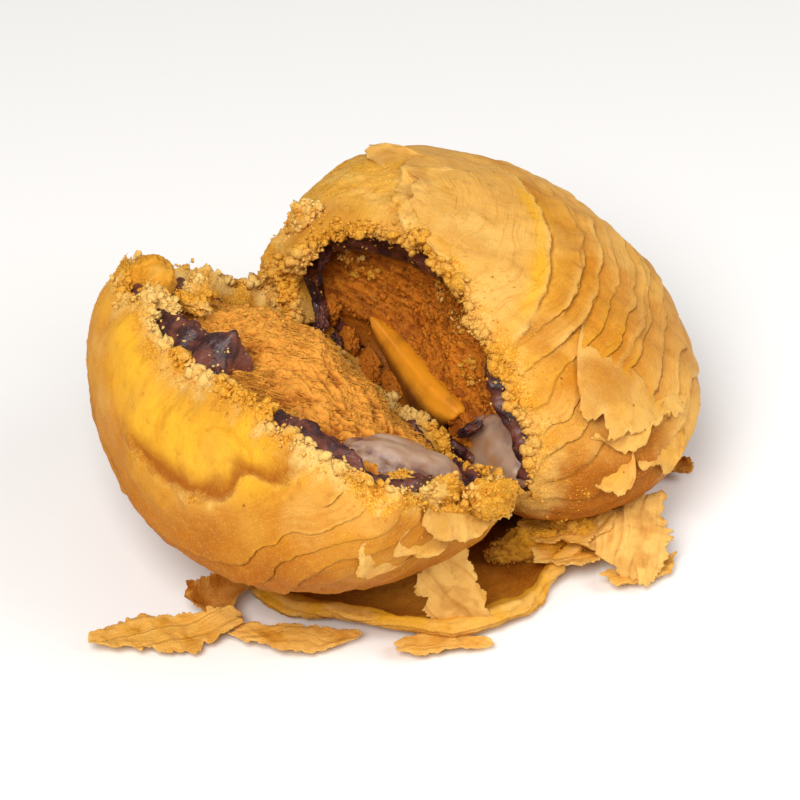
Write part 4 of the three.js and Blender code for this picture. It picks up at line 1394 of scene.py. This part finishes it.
# Crumbled crust on the table under the right half, in front of the stack of flakes.
tableAxes = {"turn": np.eye(3), "at": np.zeros(3)}
tableLumps = [((15.6, -11.4, 3.0), (3.4, 1.8, 2.4), 0, 0.35), ((20.4, -10.0, 3.6), (3.0, 1.6, 2.4), 0, 0.35),
              ((12.2, -11.6, 1.9), (2.0, 1.4, 1.2), 0, 0.4)]
tableCrumbs = (("tableCrumbs", 180, 0.2, 0.95), ("tableGrains", 1200, 0.08, 0.34))
heap = lumpsOf(tableAxes, tableLumps, 1051, **{**looseCrust, "crumb": 0.25, "glaze": 0.7})
makePiece("tableHeap", heap, crumbBake)
strewOver(heap["points"], tableCrumbs, 0.25, draw, 1071, 0.25, **{**looseCrust, "crumb": 0.4, "glaze": 0.7})

# Crust crumbs that fell on the right core, in clusters: middle across the tear and up, and spread.
strayClusters = [(11.6, 14.4, 1.6), (9.2, 19.6, 1.3), (4.6, 18.0, 1.5), (-1.4, 17.2, 1.7), (-6.4, 13.6, 1.5)]
draw = np.random.default_rng(1101)
face = rightCore["face"].reshape(-1, 3)
wander = 0.9 * fractal(face, 1.5, 2, 1103)[:, None]
clusters = []
for y, z, spread in strayClusters:
    near = face[np.linalg.norm(face[:, 1:] - (y, z) + wander, axis=1) < spread]
    clusters.append(near[draw.integers(0, len(near), 60)])
places = toTable(rightHalf, np.concatenate(clusters) - [0.12, 0, 0])
makeCrumbs("strayCrumbs", places, crumbSizes(len(places), 0.1, 0.6, draw), 1107, 0.3, **looseCrust)

# Pale grains on the dark paste.
pasteStrewn = {"count": 360, "low": 0.06, "high": 0.28}
draw = np.random.default_rng(991)
for half, side in halves:
    band = half["paste"]["band"].reshape(-1, 3)
    places = band[draw.integers(0, len(band), pasteStrewn["count"])]
    makeCrumbs("pasteGrains" + side, places, crumbSizes(**pasteStrewn, draw=draw), 995, 0.5, **looseCrust)

for number, (node, look) in enumerate(flakeLooks.items()):
    first, *words = node.split("_")
    name = first + "".join(word.title() for word in words)
    makePiece(name, flakeShape(node, look, 701 + 10 * number), crustBake, [node])


# The bottom crust left on the table: "flat" is the share that lies flat, "lift" how far the rim turns up.
bottomLook = {"flat": 0.66, "lift": 2.0, "wall": 0.8, "rows": 84, "columns": 330}


# A round sheet of rings whose radius is ragged by sines and noise towards the rim, which turns up in layers.
def bottomShape(look):
    low, high = np.array(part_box("bottom_sheet")) / mm
    centre, radii = (low + high)[:2] / 2, (high - low)[:2] / 2 / 1.045
    share = (np.linspace(0.02, 1, look["rows"]) ** 0.8)[:, None]
    angle = wholeTurn(look["columns"])[None, :]
    circle = pointsOf(8 * np.cos(angle), 8 * np.sin(angle), 0 * angle)
    edge = 1 + 0.04 * np.sin(5 * angle + 1) + 0.012 * np.sin(13 * angle) + 0.022 * fractal(circle, 1.2, 5, 801, 0.7)
    reachOut = share * (1 + (edge - 1) * share ** 3)
    x = centre[0] + radii[0] * reachOut * np.cos(angle)
    y = centre[1] + radii[1] * reachOut * np.sin(angle)
    flatPoints = pointsOf(x, y, 0)
    rise = look["lift"] * (0.75 + 0.45 * fractal(circle, 3, 2, 802)) * smoothStep(look["flat"], 1, share) ** 1.5
    rings = share * 26 + 1.5 * fractal(flatPoints, 5, 3, 803)
    layer = 0.5 * smoothStep(23.2, 23.5, rings) + 0.1 * smoothStep(20.6, 20.9, rings)
    thin = look["wall"] * (0.3 + 0.7 * smoothStep(1, 0.94, share)) + 0.25 * bump(share, 0.955, 0.03)
    uneven = 0.16 * fractal(flatPoints, 2.2, 4, 804)
    top = pointsOf(x, y, np.minimum(rise + thin + layer + uneven * smoothStep(0, 0.2, share), high[2] + 0.3))
    under = pointsOf(x, y, rise * 0.98)
    poles = np.array([[*centre, look["wall"]], [*centre, 0.0]])
    points, polygons = closedGrid(np.concatenate([top, under[::-1]]), poles)
    patches = fractal(points, 5, 3, 805)
    rim = np.repeat(np.concatenate([share, share[::-1]]), look["columns"])
    rim = np.concatenate([[0], rim, [0]])
    step = np.concatenate([[0], rings.ravel(), 0 * rings.ravel(), [0]])
    # Darker inside the dish: painted shade under the halves.
    toast = 0.8 * smoothStep(0.93, 0.84, rim) + 0.2 * patches * smoothStep(0.95, 0.9, rim)
    # Glaze and pale on the rim are painted light; the crease at the step ring is painted shade.
    return shapeOf(points, polygons, crumb=0.5 * smoothStep(0.98, 1, rim), crease=0.5 * bump(step, 23.1, 0.12),
                   toast=clipped(toast), glaze=0.9 * smoothStep(23.0, 23.6, step),
                   pale=0.75 * smoothStep(0.9, 0.97, rim) * smoothStep(-0.6, 0.4, patches),
                   phase=points[:, 2] * 1.1 + 0.5 * patches, spacing=1.0, layered=0.4 * smoothStep(0.93, 0.96, rim))


makePiece("bottomSheet", bottomShape(bottomLook), crustBake, ["bottom_sheet"])


# The clump of crust behind: an ellipsoid with knobs of several sizes, narrower below than above.
def clumpShape(node):
    low, high = np.array(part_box(node)) / mm
    unit = ballGrid(68, 130)
    knobs = 1 + 0.3 * fractal(unit * 6, 3.4, 5, 851, 0.66) - 0.1 * np.abs(fractal(unit * 6, 1.2, 3, 853))
    knobs = knobs + 0.18 * fractal(unit * 6, 8, 2, 857)
    narrowed = pointsOf(0.8 + 0.22 * unit[..., 2], 0.84 + 0.16 * unit[..., 2], 1)
    rows = (low + high) / 2 + unit * narrowed * knobs[..., None] * (high - low) / 2 * 0.9
    rows[..., 2] = np.maximum(rows[..., 2], low[2])
    points, polygons = closedGrid(rows)
    return shapeOf(points, polygons, crumb=0.7 * smoothStep(-0.3, 0.3, fractal(points, 3, 3, 852)), crease=0,
                   toast=0.2, glaze=0.3, pale=0.2, phase=0, spacing=4, layered=0)


backCrumbs = (("backCrumbs", 300, 0.2, 0.9), ("backGrains", 2000, 0.08, 0.34))
behind = clumpShape("crust_back")
makePiece("crustBack", behind, crumbBake, ["crust_back"])
strewOver(behind["points"], backCrumbs, 0.1, np.random.default_rng(861), 867, 0.3, **looseCrust)


# Floor, light and camera.
floorLook = {"size": 0.9, "colour": (0.92, 0.915, 0.91, 1)}
floorMesh = bpy.data.meshes.new("floor")
floorCorners = floorLook["size"] * np.array([(-1, -1, 0), (1, -1, 0), (1, 1, 0), (-1, 1, 0)])
floorMesh.from_pydata(floorCorners.tolist(), [], [(0, 1, 2, 3)])
floor = bpy.data.objects.new("floor", floorMesh)
bpy.context.scene.collection.objects.link(floor)
floorPaint = Shader("pale floor", Roughness=0.8)
floorPaint.surface.inputs["Base Color"].default_value = floorLook["colour"]
floorMesh.materials.append(floorPaint.material)


lights = {
    "key": {"place": (-0.14, -0.38, 0.48), "watts": 4.05, "colour": (1, 0.985, 0.96)},
    "fill": {"place": (0.5, -0.1, 0.4), "watts": 1.8, "colour": (1, 1, 1)},
}
lightLook = {"size": 0.4, "target": (0, 0, 0.015), "sky": (1, 0.975, 0.94, 1), "skyStrength": 0.28}


# A round lamp that faces the middle of the pastry.
def softLight(name, place, watts, colour):
    light = bpy.data.lights.new(name, "AREA")
    light.shape, light.size, light.energy, light.color = "DISK", lightLook["size"], watts, colour
    lamp = bpy.data.objects.new(name, light)
    lamp.location = place
    way = Vector(lightLook["target"]) - Vector(place)
    lamp.rotation_euler = way.to_track_quat("-Z", "Y").to_euler()
    bpy.context.scene.collection.objects.link(lamp)


for name, look in lights.items():
    softLight(name, **look)
world = bpy.data.worlds.new("studio")
bpy.context.scene.world = world
world.use_nodes = True
sky = world.node_tree.nodes["Background"].inputs
sky["Color"].default_value, sky["Strength"].default_value = lightLook["sky"], lightLook["skyStrength"]
bpy.context.scene.view_settings.view_transform = "Standard"

cameraLook = {"elevation": 35, "distance": 0.42, "target": (0.00024, 0.0012, 0.015), "lens": 158.8}
tilt = np.radians(cameraLook["elevation"])
camera = bpy.data.objects.new("camera", bpy.data.cameras.new("camera"))
camera.data.lens, camera.data.sensor_width = cameraLook["lens"], 36
camera.data.clip_start = 0.01
camera.location = Vector(cameraLook["target"]) + cameraLook["distance"] * Vector((0, -np.cos(tilt), np.sin(tilt)))
camera.rotation_euler = (np.pi / 2 - tilt, 0, 0)
bpy.context.scene.collection.objects.link(camera)
bpy.context.scene.camera = camera
